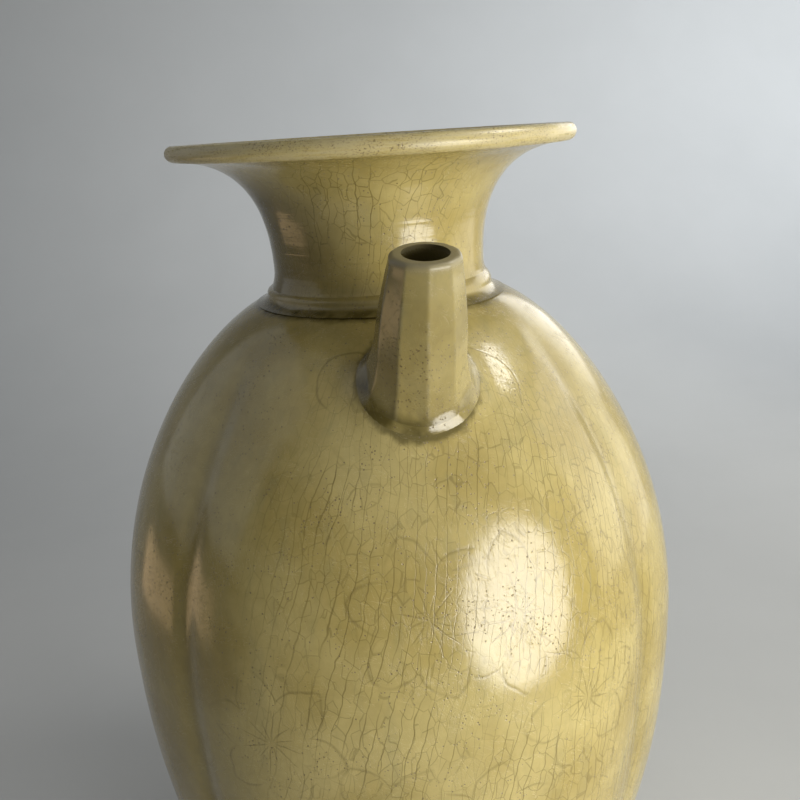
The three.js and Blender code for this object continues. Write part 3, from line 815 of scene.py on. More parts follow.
def shaft_radius(along, bearing):
    """The shaft's radius before paring: the taper, and the skirt drawn out over the shoulder."""
    share = limited(1.0 - rise_over_root(along, bearing) / SPOUT_FLARE_RISE)
    side = math.sin(bearing) ** 2
    flare = SPOUT_FRONT_FLARE + (SPOUT_SIDE_FLARE - SPOUT_FRONT_FLARE) * side
    return spout_radius(along) + flare * share ** 2.2


def facet_hold(along, bearing):
    """How much of the facets the knife left: less in the fillet at the root and on the worn lip."""
    at_root = smoothstep(-1.0, 3.0, rise_over_root(along, bearing))
    at_lip = smoothstep(SPOUT_LENGTH + 0.6, SPOUT_LENGTH - 4.0, along)
    return at_root * (0.35 + 0.65 * at_lip)


def turn_from_arris(along, bearing):
    """The turn from a bearing to the nearest edge between two facets."""
    turn = SPOUT_ROOT_TURN + (SPOUT_MOUTH_TURN - SPOUT_ROOT_TURN) * limited(along / SPOUT_LENGTH)
    half = math.pi / SPOUT_FACETS
    return (bearing - turn + half) % (2 * half) - half


def pared_share(along, bearing):
    """The facets' rule in plain Python, as the paring tree has it."""
    half = math.pi / SPOUT_FACETS
    flat = math.cos(half) / math.cos(half - abs(turn_from_arris(along, bearing)))
    return 1.0 + (flat - 1.0) * facet_hold(along, bearing)


def spout_rows():
    """Each row as distance above the seat, what the lip's rounding takes off, and 1 outside or 0 inside."""
    rows = []
    body_end = SPOUT_LENGTH - SPOUT_LIP_ROUND
    bore_end = SPOUT_LENGTH - SPOUT_INNER_ROUND
    tall = body_end + SPOUT_BELOW + SPOUT_OUTSIDE_BELOW
    for i in range(SPOUT_ROWS):
        rows.append((-SPOUT_BELOW - SPOUT_OUTSIDE_BELOW + tall * i / (SPOUT_ROWS - 1), 0.0, 1))
    for i in range(1, 9):
        a = math.radians(10.5 * i)
        rows.append((body_end + SPOUT_LIP_ROUND * math.sin(a), SPOUT_LIP_ROUND * (1 - math.cos(a)), 1))
    for i in range(7):
        a = math.radians(90 - 15 * i)
        lip_cut = SPOUT_INNER_ROUND * (1 - math.cos(a)) - SPOUT_INNER_ROUND
        rows.append((bore_end + SPOUT_INNER_ROUND * math.sin(a), lip_cut, 0))
    for i in range(1, BORE_ROWS + 1):
        rows.append((bore_end - (bore_end + SPOUT_BELOW) * i / BORE_ROWS, 0.0, 0))
    return rows


def loft_spout():
    rings = []
    facts = {"along": [], "bearing": [], "facet": [], "arris": [], "rise": [], "axis_point": []}
    for along, lip_cut, outside in spout_rows():
        ring = []
        for i in range(SPOUT_COLUMNS):
            bearing = 2 * math.pi * i / SPOUT_COLUMNS
            radius = (shaft_radius(along, bearing) if outside else bore_radius(along)) - lip_cut
            ring.append(spout_point(along, bearing, radius))
            facts["along"].append(along / SPOUT_LENGTH)
            facts["bearing"].append(bearing)
            facts["facet"].append(facet_hold(along, bearing) * outside)
            facts["rise"].append(rise_over_root(along, bearing) if outside else 0.0)
            facts["arris"].append(abs(turn_from_arris(along, bearing)) * radius if outside else 9.0)
            facts["axis_point"].extend(spout_centre(along) * MM)
        rings.append(ring)
    tube = link_mesh("spout_glazed", *ring_skin(rings, endless=True))
    for name, values in facts.items():
        kind = "FLOAT_VECTOR" if name == "axis_point" else "FLOAT"
        layer = tube.data.attributes.new(name, kind, "POINT")
        layer.data.foreach_set("vector" if kind == "FLOAT_VECTOR" else "value", values)
    return tube


spout = loft_spout()

# %% Pare the spout's facets
FACET_EDGE_SOFTNESS = 0.014


def pare_facets_tree():
    tree, given, result = start_tree("pare_facets", "GeometryNodeTree", {
        "Geometry": "Geometry",
        "Facets": SPOUT_FACETS,
        "Root Turn": SPOUT_ROOT_TURN,
        "Mouth Turn": SPOUT_MOUTH_TURN,
        "Edge Softness": FACET_EDGE_SOFTNESS,
        "Material": "Material",
    }, {"Geometry": "Geometry"})
    along = named_attribute(tree, "along")
    bearing = named_attribute(tree, "bearing")
    half = math.pi / given["Facets"]
    turn = remap(along, 0.0, 1.0, given["Root Turn"], given["Mouth Turn"])
    from_middle = half - abs(wrap(bearing - turn, half))
    flat = maths("COSINE", half) / maths("COSINE", from_middle)
    softness = given["Edge Softness"]
    rounded = maths("SMOOTH_MIN", flat, 1.0 - softness * 0.5, softness)
    share = linear(rounded - 1.0, named_attribute(tree, "facet"), 1.0)
    centre = named_attribute(tree, "axis_point", "FLOAT_VECTOR")
    position = add_node("GeometryNodeInputPosition", {}, tree=tree)
    pared = centre + (position - centre).scaled(share)
    moved = add_node("GeometryNodeSetPosition", {"Geometry": given["Geometry"], "Position": pared})
    finish_tree(moved, given["Material"], result["Geometry"])
    return tree


spout_glaze = bpy.data.materials.new("spout_glaze")
run_tree(spout, pare_facets_tree(), facets=SPOUT_FACETS, edge_softness=FACET_EDGE_SOFTNESS,
         material=spout_glaze)
spout = apply_modifiers(spout)
print("spout:", count_triangles(spout), "triangles, pared into", SPOUT_FACETS, "facets")

# %% [markdown]
# ## The lutings
# Where the spout and the handle meet a wall, a thin coil of soft clay is pressed into the corner and
# smoothed with a fingertip, and the glaze later pools in it. On the model that is a fillet: for every
# bearing round the joint, a short curve leaves one surface and runs into the other. Its two edges are sunk
# slightly under both surfaces and its back lies inside the walls, so no crack shows.

# %% Press a luting into a corner
LUTING_SUNK = 0.15
LUTING_BACK = 1.0  # how far its back lies inside the walls
LUTING_EDGE_BACK = 0.8
LUTING_FULLNESS = 0.12
LUTING_STEPS = 10
SPOUT_LUTING_COLUMNS = 160
SPOUT_LUTING_RISE = 1.7  # up the shaft in front and behind
SPOUT_LUTING_REACH = 1.3  # along the wall there
SIDE_RISE = 1.4  # how much higher and wider it is at the sides
SIDE_REACH = 0.2


def luting_ring(name, joints, depth_at):
    """A closed fillet from a standing piece's surface, over the corner's curve, to the wall it stands on.

    Each joint is its root, the way out of it, a place up the standing piece with the normal there, and the
    reach along the wall.
    """
    rings = []
    for root, outward, upper, up_normal, reach in joints:
        normal = surface_normal(root, depth_at)
        away = (outward - normal * outward.dot(normal)).normalized()
        outer = landing(root + away * reach, depth_at, normal)
        wall_normal = surface_normal(outer, depth_at)
        start = upper - up_normal * LUTING_SUNK
        end = outer - wall_normal * LUTING_SUNK
        corner = root + (upper - root) * LUTING_FULLNESS + (outer - root) * LUTING_FULLNESS
        curve = [Vector(p) for p in bezier([start, corner, end], LUTING_STEPS)]
        back = root - up_normal * LUTING_BACK - wall_normal * LUTING_BACK
        low_back = end - wall_normal * LUTING_EDGE_BACK
        high_back = start - up_normal * LUTING_EDGE_BACK
        rings.append(curve + [low_back, back, high_back])
    return link_mesh(name, *ring_skin(rings, endless=True))


def spout_joints():
    joints = []
    for i in range(SPOUT_LUTING_COLUMNS):
        bearing = 2 * math.pi * i / SPOUT_LUTING_COLUMNS

        def on_shaft(along):
            return spout_point(along, bearing, shaft_radius(along, bearing) * pared_share(along, bearing))

        root_at = crossing(on_shaft, SPOUT_LENGTH / 2, SPOUT_LOWEST, depth_in_body)
        root = on_shaft(root_at)
        spoke = (root - spout_centre(root_at)).normalized()
        side = abs(math.sin(bearing))
        rise = SPOUT_LUTING_RISE + SIDE_RISE * side
        reach = SPOUT_LUTING_REACH + SIDE_REACH * side
        joints.append((root, spoke, on_shaft(root_at + rise), spoke, reach))
    return joints


spout_luting = luting_ring("spout_luting_glazed", spout_joints(), depth_in_body)
print("spout luting:", count_triangles(spout_luting), "triangles")

# %% [markdown]
# ## The ring of slip under the neck
# The neck was stood on the shoulder in a bead of slip. It shows as a narrow ledge with a bright upper edge,
# and the glaze ran off it into a dark pool on the shoulder. It is one more turned outline.

# %% Turn the slip ring
SEAM_RADIUS = 30.3
SEAM_WIPED_TURN = math.radians(95)
SEAM_COLUMNS = 240
LEDGE_TOP = 0.75  # over the neck's foot, where the ledge is crisp
LEDGE_LOW = 0.7  # below the neck's foot
WIPED_RISE = 1.9  # what wiping adds to the top and takes off the edge
WIPED_EDGE = 0.45
COVE_REACH = 3.0
COVE_DEPTH = 1.02


def seam_profile(turn):
    """The ledge stands crisp in front and was wiped soft on the right."""
    wiped = 0.5 + 0.5 * math.cos(turn - SEAM_WIPED_TURN)
    top = NECK_Z + LEDGE_TOP + WIPED_RISE * wiped
    edge = SEAM_RADIUS - WIPED_EDGE * wiped
    low_edge = (edge, NECK_Z - LEDGE_LOW)
    upper_corner = (edge + 0.1, NECK_Z + 0.25 + 0.5 * wiped)
    cove_end = (SEAM_RADIUS + COVE_REACH, SHOULDER_Z - COVE_DEPTH)
    ledge = bezier([(radius_at(fine_neck, top) - 0.12, top), upper_corner, low_edge], 10)
    cove = bezier([low_edge, (SEAM_RADIUS + 0.1, SHOULDER_Z - 0.2), cove_end], 12)
    under = [(SEAM_RADIUS + 2.0, SHOULDER_Z - 1.6), (SHOULDER_SEAT_RADIUS - 1, SHOULDER_Z - 0.4),
             (BORE_RADIUS, SHOULDER_Z - 0.1)]
    return [(BORE_RADIUS, NECK_Z), (28.0, NECK_Z + 0.1)] + ledge + cove[1:] + under


neck_luting = swing("neck_luting_glazed", seam_profile, SEAM_COLUMNS)
print("slip ring:", count_triangles(neck_luting), "triangles")

# %% [markdown]
# ## The handle
# The photograph doesn't show the handle, which stands opposite the spout behind the neck. Ewers of this
# kind have a strap, pulled from a lump of clay, with two grooves drawn along it by a fingertip. It leaves
# the neck, bends over and lands on the shoulder. A strap follows a path, so Geometry Nodes make it: a
# section with rounded edges and grooves is drawn along the curve, then widened towards both ends, where the
# potter pressed them on.

# %% Draw the handle's path
HANDLE_WIDTH = 19.0
HANDLE_END_WIDTH = 24.0
HANDLE_THICKNESS = 7.0
HANDLE_GROOVE_DEPTH = 0.9
HANDLE_GROOVE_PLACE = 0.34
HANDLE_SECTION_POWER = 0.72
HANDLE_EMBED = 3.0
HANDLE_SEAT_RADIUS = 61.0
HANDLE_START_HEIGHT = 17.7  # above the neck's foot
HANDLE_BEND_HEIGHT = 7.2
HANDLE_BEND_INSET = 0.5  # how far the bend's outer face stays inside the belly's width
HANDLE_RISE = 16  # the strap's direction as it leaves the neck, in degrees from level
HANDLE_LANDING = 62  # and as it lands on the shoulder
HANDLE_START_PULL = 26
HANDLE_BEND_PULL = 19
HANDLE_END_PULL = 16
HANDLE_HALF_STEPS = 40


def handle_path():
    """The strap's centre line as (distance behind the axis, height)."""
    start_z = NECK_Z + HANDLE_START_HEIGHT
    start = (radius_at(fine_neck, start_z), start_z)
    bend = (BELLY_RADIUS - HANDLE_BEND_INSET - HANDLE_THICKNESS / 2, NECK_Z + HANDLE_BEND_HEIGHT)
    over_seat = crossing(lambda z: Vector((0, HANDLE_SEAT_RADIUS, z)), 199.5, 150.0, depth_in_body)
    end = (HANDLE_SEAT_RADIUS, over_seat)
    from_start = step_from(start, HANDLE_RISE, HANDLE_START_PULL)
    from_end = step_from(end, HANDLE_LANDING, HANDLE_END_PULL)
    over_bend, under_bend = [step_from(bend, degrees, HANDLE_BEND_PULL) for degrees in (90, -90)]
    upper = bezier([start, from_start, over_bend, bend], HANDLE_HALF_STEPS)
    lower = bezier([bend, under_bend, from_end, end], HANDLE_HALF_STEPS)
    lead_in = step_from(start, HANDLE_RISE + 180, HANDLE_EMBED)
    lead_out = step_from(end, HANDLE_LANDING + 180, HANDLE_EMBED)
    return [lead_in] + upper + lower[1:] + [lead_out]


handle_line = handle_path()
handle_lengths = [0.0]
for (x0, y0), (x1, y1) in zip(handle_line, handle_line[1:]):
    handle_lengths.append(handle_lengths[-1] + math.hypot(x1 - x0, y1 - y0))
handle_total = handle_lengths[-1]
handle_middle = handle_lengths[HANDLE_HALF_STEPS + 1] / handle_total
print("handle's centre line is", round(handle_total, 1), "mm long")

path_data = bpy.data.curves.new("handle_path", "CURVE")
path_data.dimensions = "3D"
spline = path_data.splines.new("POLY")
spline.points.add(len(handle_line) - 1)
for point, (y, z) in zip(spline.points, handle_line):
    point.co = (0.0, y * MM, z * MM, 1.0)
handle = bpy.data.objects.new("handle_glazed", path_data)
bpy.context.scene.collection.objects.link(handle)

# %% Sweep the strap
GROOVE_SHARPNESS = 60.0
FLARE_REACH = 2.1
FLARE_POWER = 3
HANDLE_STEPS = 160
SECTION_POINTS = 96


def draw_strap_tree():
    tree, given, result = start_tree("draw_strap", "GeometryNodeTree", {
        "Path": "Geometry",
        "Width": HANDLE_WIDTH,
        "End Width": HANDLE_END_WIDTH,
        "Thickness": HANDLE_THICKNESS,
        "Groove Depth": HANDLE_GROOVE_DEPTH,
        "Groove Place": HANDLE_GROOVE_PLACE,
        "Middle": handle_middle,
        "Steps": HANDLE_STEPS,
        "Section Points": SECTION_POINTS,
        "Material": "Material",
    }, {"Geometry": "Geometry"})
    path = add_node("GeometryNodeResampleCurve", {"Curve": given["Path"], "Count": given["Steps"]})
    share = add_node("GeometryNodeSplineParameter", {}, "Factor", tree)
    path = note_value(path, "way", share)

    circle = add_node("GeometryNodeCurvePrimitiveCircle", {"Resolution": given["Section Points"]}, "Curve")
    turn = share * (2 * math.pi)
    sides = []
    for wave in ("COSINE", "SINE"):
        raw = maths(wave, turn)
        sides.append(abs(raw) ** HANDLE_SECTION_POWER * maths("SIGN", raw))
    across, through = sides
    groove = 0.0
    for side in (-1.0, 1.0):
        groove = bell(linear(given["Groove Place"], side, across), GROOVE_SHARPNESS) + groove
    groove = groove * remap(through, 0.0, -0.6) * given["Groove Depth"]
    deep = through * 0.5 * given["Thickness"] + groove
    wide = across * 0.5 * given["Width"]
    outline = combine(wide * MM, deep * MM, 0.0)
    section = add_node("GeometryNodeSetPosition", {"Geometry": circle, "Position": outline})

    strap = add_node("GeometryNodeCurveToMesh", {"Curve": path, "Profile Curve": section, "Fill Caps": True})
    from_middle = abs(named_attribute(tree, "way") - given["Middle"])
    flare = maths("POWER", from_middle * FLARE_REACH, float(FLARE_POWER), clamp=True)
    wider = given["End Width"] / given["Width"] - 1.0
    position = add_node("GeometryNodeInputPosition", {}, tree=tree)
    spread = position * combine(linear(flare, wider, 1.0), 1.0, 1.0)
    strap = add_node("GeometryNodeSetPosition", {"Geometry": strap, "Position": spread})
    strap = add_node("GeometryNodeSetShadeSmooth", {"Geometry": strap})
    finish_tree(strap, given["Material"], result["Geometry"])
    return tree


handle_glaze = bpy.data.materials.new("handle_glaze")
run_tree(handle, draw_strap_tree(), width=HANDLE_WIDTH, thickness=HANDLE_THICKNESS, middle=handle_middle,
         material=handle_glaze)
handle = apply_modifiers(handle)
print("handle:", count_triangles(handle), "triangles,", rounded_mm(handle.dimensions), "mm")

# %% Lute the handle's ends
HANDLE_LUTING_RISE = 2.6
HANDLE_LUTING_REACH = 2.2
HANDLE_LUTING_COLUMNS = 120


def strap_point(way, turn):
    """A point of the strap and its outward direction, by share of the way and turn round the section."""
    target = way * handle_total
    k = max(i for i, length in enumerate(handle_lengths) if length <= target + 1e-9)
    k = min(k, len(handle_line) - 2)
    part = (target - handle_lengths[k]) / (handle_lengths[k + 1] - handle_lengths[k])
    here, there = Vector(handle_line[k]), Vector(handle_line[k + 1])
    along = (there - here).normalized()
    centre = here.lerp(there, part)
    across, through = [math.copysign(abs(wave) ** HANDLE_SECTION_POWER, wave)
                       for wave in (math.cos(turn), math.sin(turn))]
    flare = limited((abs(way - handle_middle) * FLARE_REACH) ** FLARE_POWER)
    half_width = (HANDLE_WIDTH + (HANDLE_END_WIDTH - HANDLE_WIDTH) * flare) / 2
    out = through * HANDLE_THICKNESS / 2
    lean = through / HANDLE_THICKNESS
    point = Vector((across * half_width, centre.x - along.y * out, centre.y + along.x * out))
    return point, Vector((across / half_width, -along.y * lean, along.x * lean)).normalized()


def handle_joints(outside, inside, depth_at):
    joints = []
    rise = math.copysign(HANDLE_LUTING_RISE, outside - inside)
    for i in range(HANDLE_LUTING_COLUMNS):
        turn = 2 * math.pi * i / HANDLE_LUTING_COLUMNS
        way = crossing(lambda s: strap_point(s, turn)[0], outside, inside, depth_at)
        root, outward = strap_point(way, turn)
        upper, up_normal = strap_point(way + rise / handle_total, turn)
        joints.append((root, outward, upper, up_normal, HANDLE_LUTING_REACH))
    return joints


handle_upper_luting = luting_ring(
    "handle_upper_luting_glazed", handle_joints(0.3, 0.0, depth_in_neck), depth_in_neck)
handle_lower_luting = luting_ring(
    "handle_lower_luting_glazed", handle_joints(0.75, 1.0, depth_in_body), depth_in_body)
print("handle lutings:", count_triangles(handle_upper_luting), count_triangles(handle_lower_luting))

# %% [markdown]
# ## The foot
# A ring foot is turned under the body. It is below the photograph, so it is plain, as such feet are: a low
# ring with softened edges, glazed outside, and bare on the face it rests on, where glaze would have stuck
# to the kiln shelf.

# %% Turn the foot ring
FOOT_WIDTH = 7.0
FOOT_EDGE = 1.2
FOOT_COLUMNS = 200


def foot_profile():
    inner = FOOT_RADIUS - FOOT_WIDTH
    outer_edge = bezier([(FOOT_RADIUS - FOOT_EDGE, 0.0), (FOOT_RADIUS, 0.0), (FOOT_RADIUS, FOOT_EDGE)], 8)
    inner_edge = bezier([(inner, FOOT_EDGE), (inner, 0.0), (inner + FOOT_EDGE, 0.0)], 8)
    side = [(FOOT_RADIUS, FOOT_EDGE + (BODY_Z + 0.3 - FOOT_EDGE) * i / 6) for i in range(1, 7)]
    return outer_edge + side + [(inner, BODY_Z + 0.3), (inner, BODY_Z - 1.5)] + inner_edge


turned_profile = foot_profile()
foot_ring = swing("foot_ring_turned", lambda turn: turned_profile, FOOT_COLUMNS)
print("foot ring:", count_triangles(foot_ring), "triangles")

# %% [markdown]
# ## The studio
# A pale sheet runs down a wall and out under the ewer in one sweep. A soft window of light stands close on
# the right in front, a broad dim one behind on the right, and the left gets only what a pale wall and a
# warm card send back, so the glaze shows both its gloss and its lobes. All lamps are hidden from the
# camera.

# %% Hang the sweep
FLOOR_FRONT = -1000.0
FLOOR_BACK = 320.0
SWEEP_RADIUS = 520.0
WALL_TOP = 1900.0
SHEET_HALF_WIDTH = 1700.0
SHEET_COLUMNS = 24

sheet_line = [(FLOOR_FRONT + (FLOOR_BACK - FLOOR_FRONT) * i / 12, 0.0) for i in range(13)]
sheet_line += [(FLOOR_BACK + SWEEP_RADIUS * math.sin(a), SWEEP_RADIUS * (1 - math.cos(a)))
               for a in (math.pi / 2 * i / 40 for i in range(1, 41))]
sheet_line += [(FLOOR_BACK + SWEEP_RADIUS, SWEEP_RADIUS + (WALL_TOP - SWEEP_RADIUS) * i / 6)
               for i in range(1, 7)]
sheet_points, sheet_faces = [], []
for y, z in sheet_line:
    for i in range(SHEET_COLUMNS + 1):
        sheet_points.append((SHEET_HALF_WIDTH * (2 * i / SHEET_COLUMNS - 1), y, z))
for row in range(len(sheet_line) - 1):
    for i in range(SHEET_COLUMNS):
        a = row * (SHEET_COLUMNS + 1) + i
        sheet_faces.append((a, a + 1, a + SHEET_COLUMNS + 2, a + SHEET_COLUMNS + 1))
sheet = link_mesh("studio_sheet", sheet_points, sheet_faces)

# %% Set the lights
WORLD_DARK = 0.065
WORLD_LIGHT = 0.42
WORLD_SEEN = 0.3  # what the camera sees past the sheet's edges, plain and pale
BRIGHT_SIDE = Vector((0.72, -0.1, 0.55)).normalized()
WARM_DARK = (1.0, 0.78, 0.5, 1.0)
COOL_LIGHT = (0.95, 0.98, 1.0, 1.0)
DAYLIGHT = (1.0, 0.965, 0.88)
PALE_WALL = COOL_LIGHT[:3]
WARM_CARD = (1.0, 0.68, 0.36)

world = bpy.data.worlds.new("studio")
bpy.context.scene.world = world
world.use_nodes = True
sky = world.node_tree
direction = add_node("ShaderNodeTexCoord", {}, "Generated", sky)
toward_light = vectors("DOT_PRODUCT", direction, BRIGHT_SIDE)
brightness = remap(toward_light, -0.75, 0.85, WORLD_DARK, WORLD_LIGHT, smooth=True)
tint = blend(remap(toward_light, -0.8, 0.2), WARM_DARK, COOL_LIGHT)
straight = add_node("ShaderNodeLightPath", {}, "Is Camera Ray", sky)
seen_strength = straight * WORLD_SEEN
lit_strength = maths("SUBTRACT", 1.0, straight) * brightness
feed(sky.nodes["Background"].inputs["Color"], blend(straight, tint, COOL_LIGHT))
feed(sky.nodes["Background"].inputs["Strength"], seen_strength + lit_strength)
bpy.context.scene.view_settings.view_transform = "Standard"


def hang_lamp(name, place, aim, size, watts, colour, shape="RECTANGLE", spread=180.0):
    """An area lamp by its place, aim and size in millimetres, in the camera's turned frame."""
    lamp = bpy.data.lights.new(name, "AREA")
    lamp.shape = shape
    lamp.size, lamp.size_y = size[0] * MM, size[1] * MM
    lamp.energy = watts
    lamp.color = colour
    lamp.spread = math.radians(spread)
    hung = bpy.data.objects.new(name, lamp)
    turn = Matrix.Rotation(-CAMERA_AZIMUTH, 3, "Z")
    start, end = turn @ Vector(place), turn @ Vector(aim)
    hung.location = start * MM
    hung.rotation_euler = (end - start).to_track_quat("-Z", "Y").to_euler()
    hung.visible_camera = False
    bpy.context.scene.collection.objects.link(hung)


hang_lamp("window_front_right", (205, -245, 125), (0, 0, 130), (235, 235), 0.74, DAYLIGHT, "ELLIPSE", 120.0)
hang_lamp("window_right", (560, 120, 190), (0, 0, 120), (420, 520), 1.1, DAYLIGHT)
hang_lamp("window_back_right", (360, 400, 330), (0, 0, 190), (300, 240), 0.56, DAYLIGHT)
hang_lamp("top_right", (243, -18, 428), (20, -45, 187), (125, 105), 0.45, DAYLIGHT, "ELLIPSE")
hang_lamp("pale_wall_left", (-350, 40, 350), (0, 0, 165), (430, 430), 0.15, PALE_WALL, spread=130.0)
hang_lamp("warm_card_left", (-420, 60, 28), (0, 0, 95), (260, 120), 0.12, WARM_CARD)
hang_lamp("sheet_wash", (1100, 250, 900), (330, 900, 230), (700, 700), 3.9, PALE_WALL, spread=70.0)
print("lamps:", [lamp.name for lamp in bpy.data.lights])

# %% [markdown]
# ## Helpers for materials
# A finish is built from small node groups, each for one thing a potter would name: the crackle, a pinhole,
# a cut line, the fine skin of the glaze. Every group gives back plain values, places or colours, and the
# material decides what to do with them. Patterns are laid out in the piece's own millimetres, so a crack is
# as wide as a real one.

# %% Material helpers


def use_group(group, tree=None, **values):
    """Adds a node group, sets its inputs by name and gives back its outputs."""
    inputs = {name.replace("_", " ").title(): value for name, value in values.items()}
    first = add_node("ShaderNodeGroup", {}, 0, tree or values["point"].socket.id_data, node_tree=group)
    for name, value in inputs.items():
        feed(first.socket.node.inputs[name], value)
    return {socket.name: Value(socket) for socket in first.socket.node.outputs}


def random_at(place):
    return add_node("ShaderNodeTexWhiteNoise", {"Vector": place})


def attribute(tree, name):
    return add_node("ShaderNodeAttribute", {}, "Fac", tree, attribute_name=name)


def both(*masks):
    """All of several masks, by multiplying them."""
    result = masks[0]
    for mask in masks[1:]:
        result = result * mask
    return result


def either(*masks):
    result = masks[0]
    for mask in masks[1:]:
        result = maths("MAXIMUM", result, mask)
    return result


def shaken(point, scale, amount, detail=1.0, roughness=0.5):
    """A point moved about a little by slow noise, as an unsteady line is."""
    sway = noise(point, scale, detail, roughness, "Color") - (0.5, 0.5, 0.5)
    return point + sway.scaled(amount)


def stroke(off_line, half_width):
    """A drawn line: 1 along its middle, falling to 0 at its edges."""
    return maths("SUBTRACT", 1.0, off_line / half_width, clamp=True)


# %% Where a point lies on its piece
piece_point, given, result = start_tree("piece_point", "ShaderNodeTree", {}, {
    "Point": "Vector", "Height": "Float", "Radius": "Float", "Azimuth": "Float"})
point = add_node("ShaderNodeTexCoord", {}, "Object", piece_point).scaled(1 / MM)
x = add_node("ShaderNodeSeparateXYZ", {0: point})
feed(result["Point"], point)
feed(result["Height"], x.also("Z"))
feed(result["Radius"], vectors("LENGTH", point * (1, 1, 0)))
feed(result["Azimuth"], maths("ARCTAN2", x, -x.also("Y")))

# %% [markdown]
# ### Crackle
# The glaze shrinks more than the clay as it cools, and cracks. On this ewer long wavy cracks run down the
# wall side by side, a little aslant, because the wheel stretched the clay that way. A net of short cracks
# came later between them. The long ones are the level lines of a number that counts up round the pot: where
# the count, shaken by slow noise, passes a whole number, there is a crack. A whole count all the way round
# leaves no seam.

# %% Build the long cracks
SLOW_SWAY = 4.5  # how far noise shifts the count, in cracks
QUICK_SWAY = 0.95
WIDTH_SHARES = (0.5, 1.2)  # the thinnest and the widest crack
BROKEN_BELOW = (0.32, 0.46)  # noise values between which a crack fades in

long_cracks, given, result = start_tree("long_cracks", "ShaderNodeTree", {
    "Point": "Vector", "Azimuth": 0.0, "Height": 0.0, "Count": 176.0, "Spacing": 2.7, "Slant": -0.08,
    "Waviness": 1.0, "Line Width": 0.22,
}, {"Line": "Float"})
slow = noise(given["Point"] * (0.032, 0.032, 0.016), 1.0, 1.0)
quick = noise(given["Point"] * (0.12, 0.12, 0.13), 1.0, 2.0)
count = given["Azimuth"] * (given["Count"] / (2 * math.pi))
count = linear(given["Height"], given["Slant"], count)
count = linear(linear(slow, SLOW_SWAY, quick * QUICK_SWAY), given["Waviness"], count)
number = maths("ROUND", count)
off_line = abs((count - number) * given["Spacing"])
width = given["Line Width"] * remap(random_at(combine(number, 0.0, 0.0)), 0.0, 1.0, *WIDTH_SHARES)
line = remap(off_line, width * 0.3, width, 1.0, 0.0, smooth=True)
broken = noise(combine(number * 7.3, 0.0, given["Height"] * 0.035), 1.0, 2.0)
feed(result["Line"], line * remap(broken, *BROKEN_BELOW))

# %% [markdown]
# The short cracks are the edges of a Voronoi pattern. Its usual distance to an edge is stretched where the
# pattern is, so the group works the distance out itself, in real millimetres, from the two nearest cell
# centres. The same two centres give every crack its own random strength.

# %% Build the net of short cracks
CELL_RANDOMNESS = 0.92
LUCK_FADE = 0.25  # how gradually a crack's luck turns to strength
SNAP_STEP = (0.002, 0.002, 0.002)  # makes both cells agree on the middle between them

crackle_net, given, result = start_tree("crackle_net", "ShaderNodeTree", {
    "Point": "Vector", "Cell Width": 3.0, "Cell Height": 10.0, "Line Width": 0.25, "Presence": 0.8,
    "Waviness": 1.2,
}, {"Line": "Float", "Cell": "Float"})
bent = shaken(given["Point"], 0.16, given["Waviness"] * 2.0, 2.0, 0.55)
inverse = combine(*[1.0 / given[name] for name in ("Cell Width", "Cell Width", "Cell Height")])
squeezed = bent * inverse
near, next_near = [
    add_node("ShaderNodeTexVoronoi", {"Vector": squeezed, "Scale": 1.0, "Randomness": CELL_RANDOMNESS},
             "Position", feature=feature)
    for feature in ("F1", "F2")
]
span = next_near - near
middle = (near + next_near).scaled(0.5)
distance = vectors("DOT_PRODUCT", middle - squeezed, span) / vectors("LENGTH", span * inverse)
luck = random_at(vectors("SNAP", middle, SNAP_STEP))
shown = remap(luck, 1.0 - given["Presence"], 1.0 + LUCK_FADE - given["Presence"])
half_line = given["Line Width"] * 0.5
edge = remap(distance, half_line * 0.5, half_line * 1.7, 1.0, 0.0, smooth=True)
feed(result["Line"], edge * shown)
feed(result["Cell"], random_at(near))

# %% [markdown]
# ### Incised flowers
# Before glazing, the potter drew flowers in the leather-hard clay with a pointed tool: a star of fine
# tapering veins inside a ring of pointed petals. Glaze fills the cuts and shows them as soft dark lines.
# One group draws a flower round a centre, flat on the plane given by two directions, and another draws a
# single curl beside the spout.

# %% Build the incised lines
PLANE = {"Point": "Vector", "Centre": "Vector", "Right": "Vector", "Up": "Vector"}
VEIN_LENGTHS = (5.5, 9.5)
VEIN_TAPER = (1.1, 0.25)  # a vein's width at its root and tip, in line widths
PETAL_ROUNDNESS = 0.62
PETAL_STROKE = 1.7
FLOWER_FADE = (24.0, 22.0)  # distances between which lines come up, so none shows on the far wall
CURL_FADE = (26.0, 24.0)
CURL_END = 0.35  # how far along the turn a curl fades in


def seen_from_centre(given, scale, amount):
    """A shaken point's distance and turn on the plane of two directions, and its distance in space."""
    from_centre = shaken(given["Point"], scale, amount) - given["Centre"]
    across = vectors("DOT_PRODUCT", from_centre, given["Right"])
    upward = vectors("DOT_PRODUCT", from_centre, given["Up"])
    return hypotenuse(across, upward), maths("ARCTAN2", upward, across), vectors("LENGTH", from_centre)


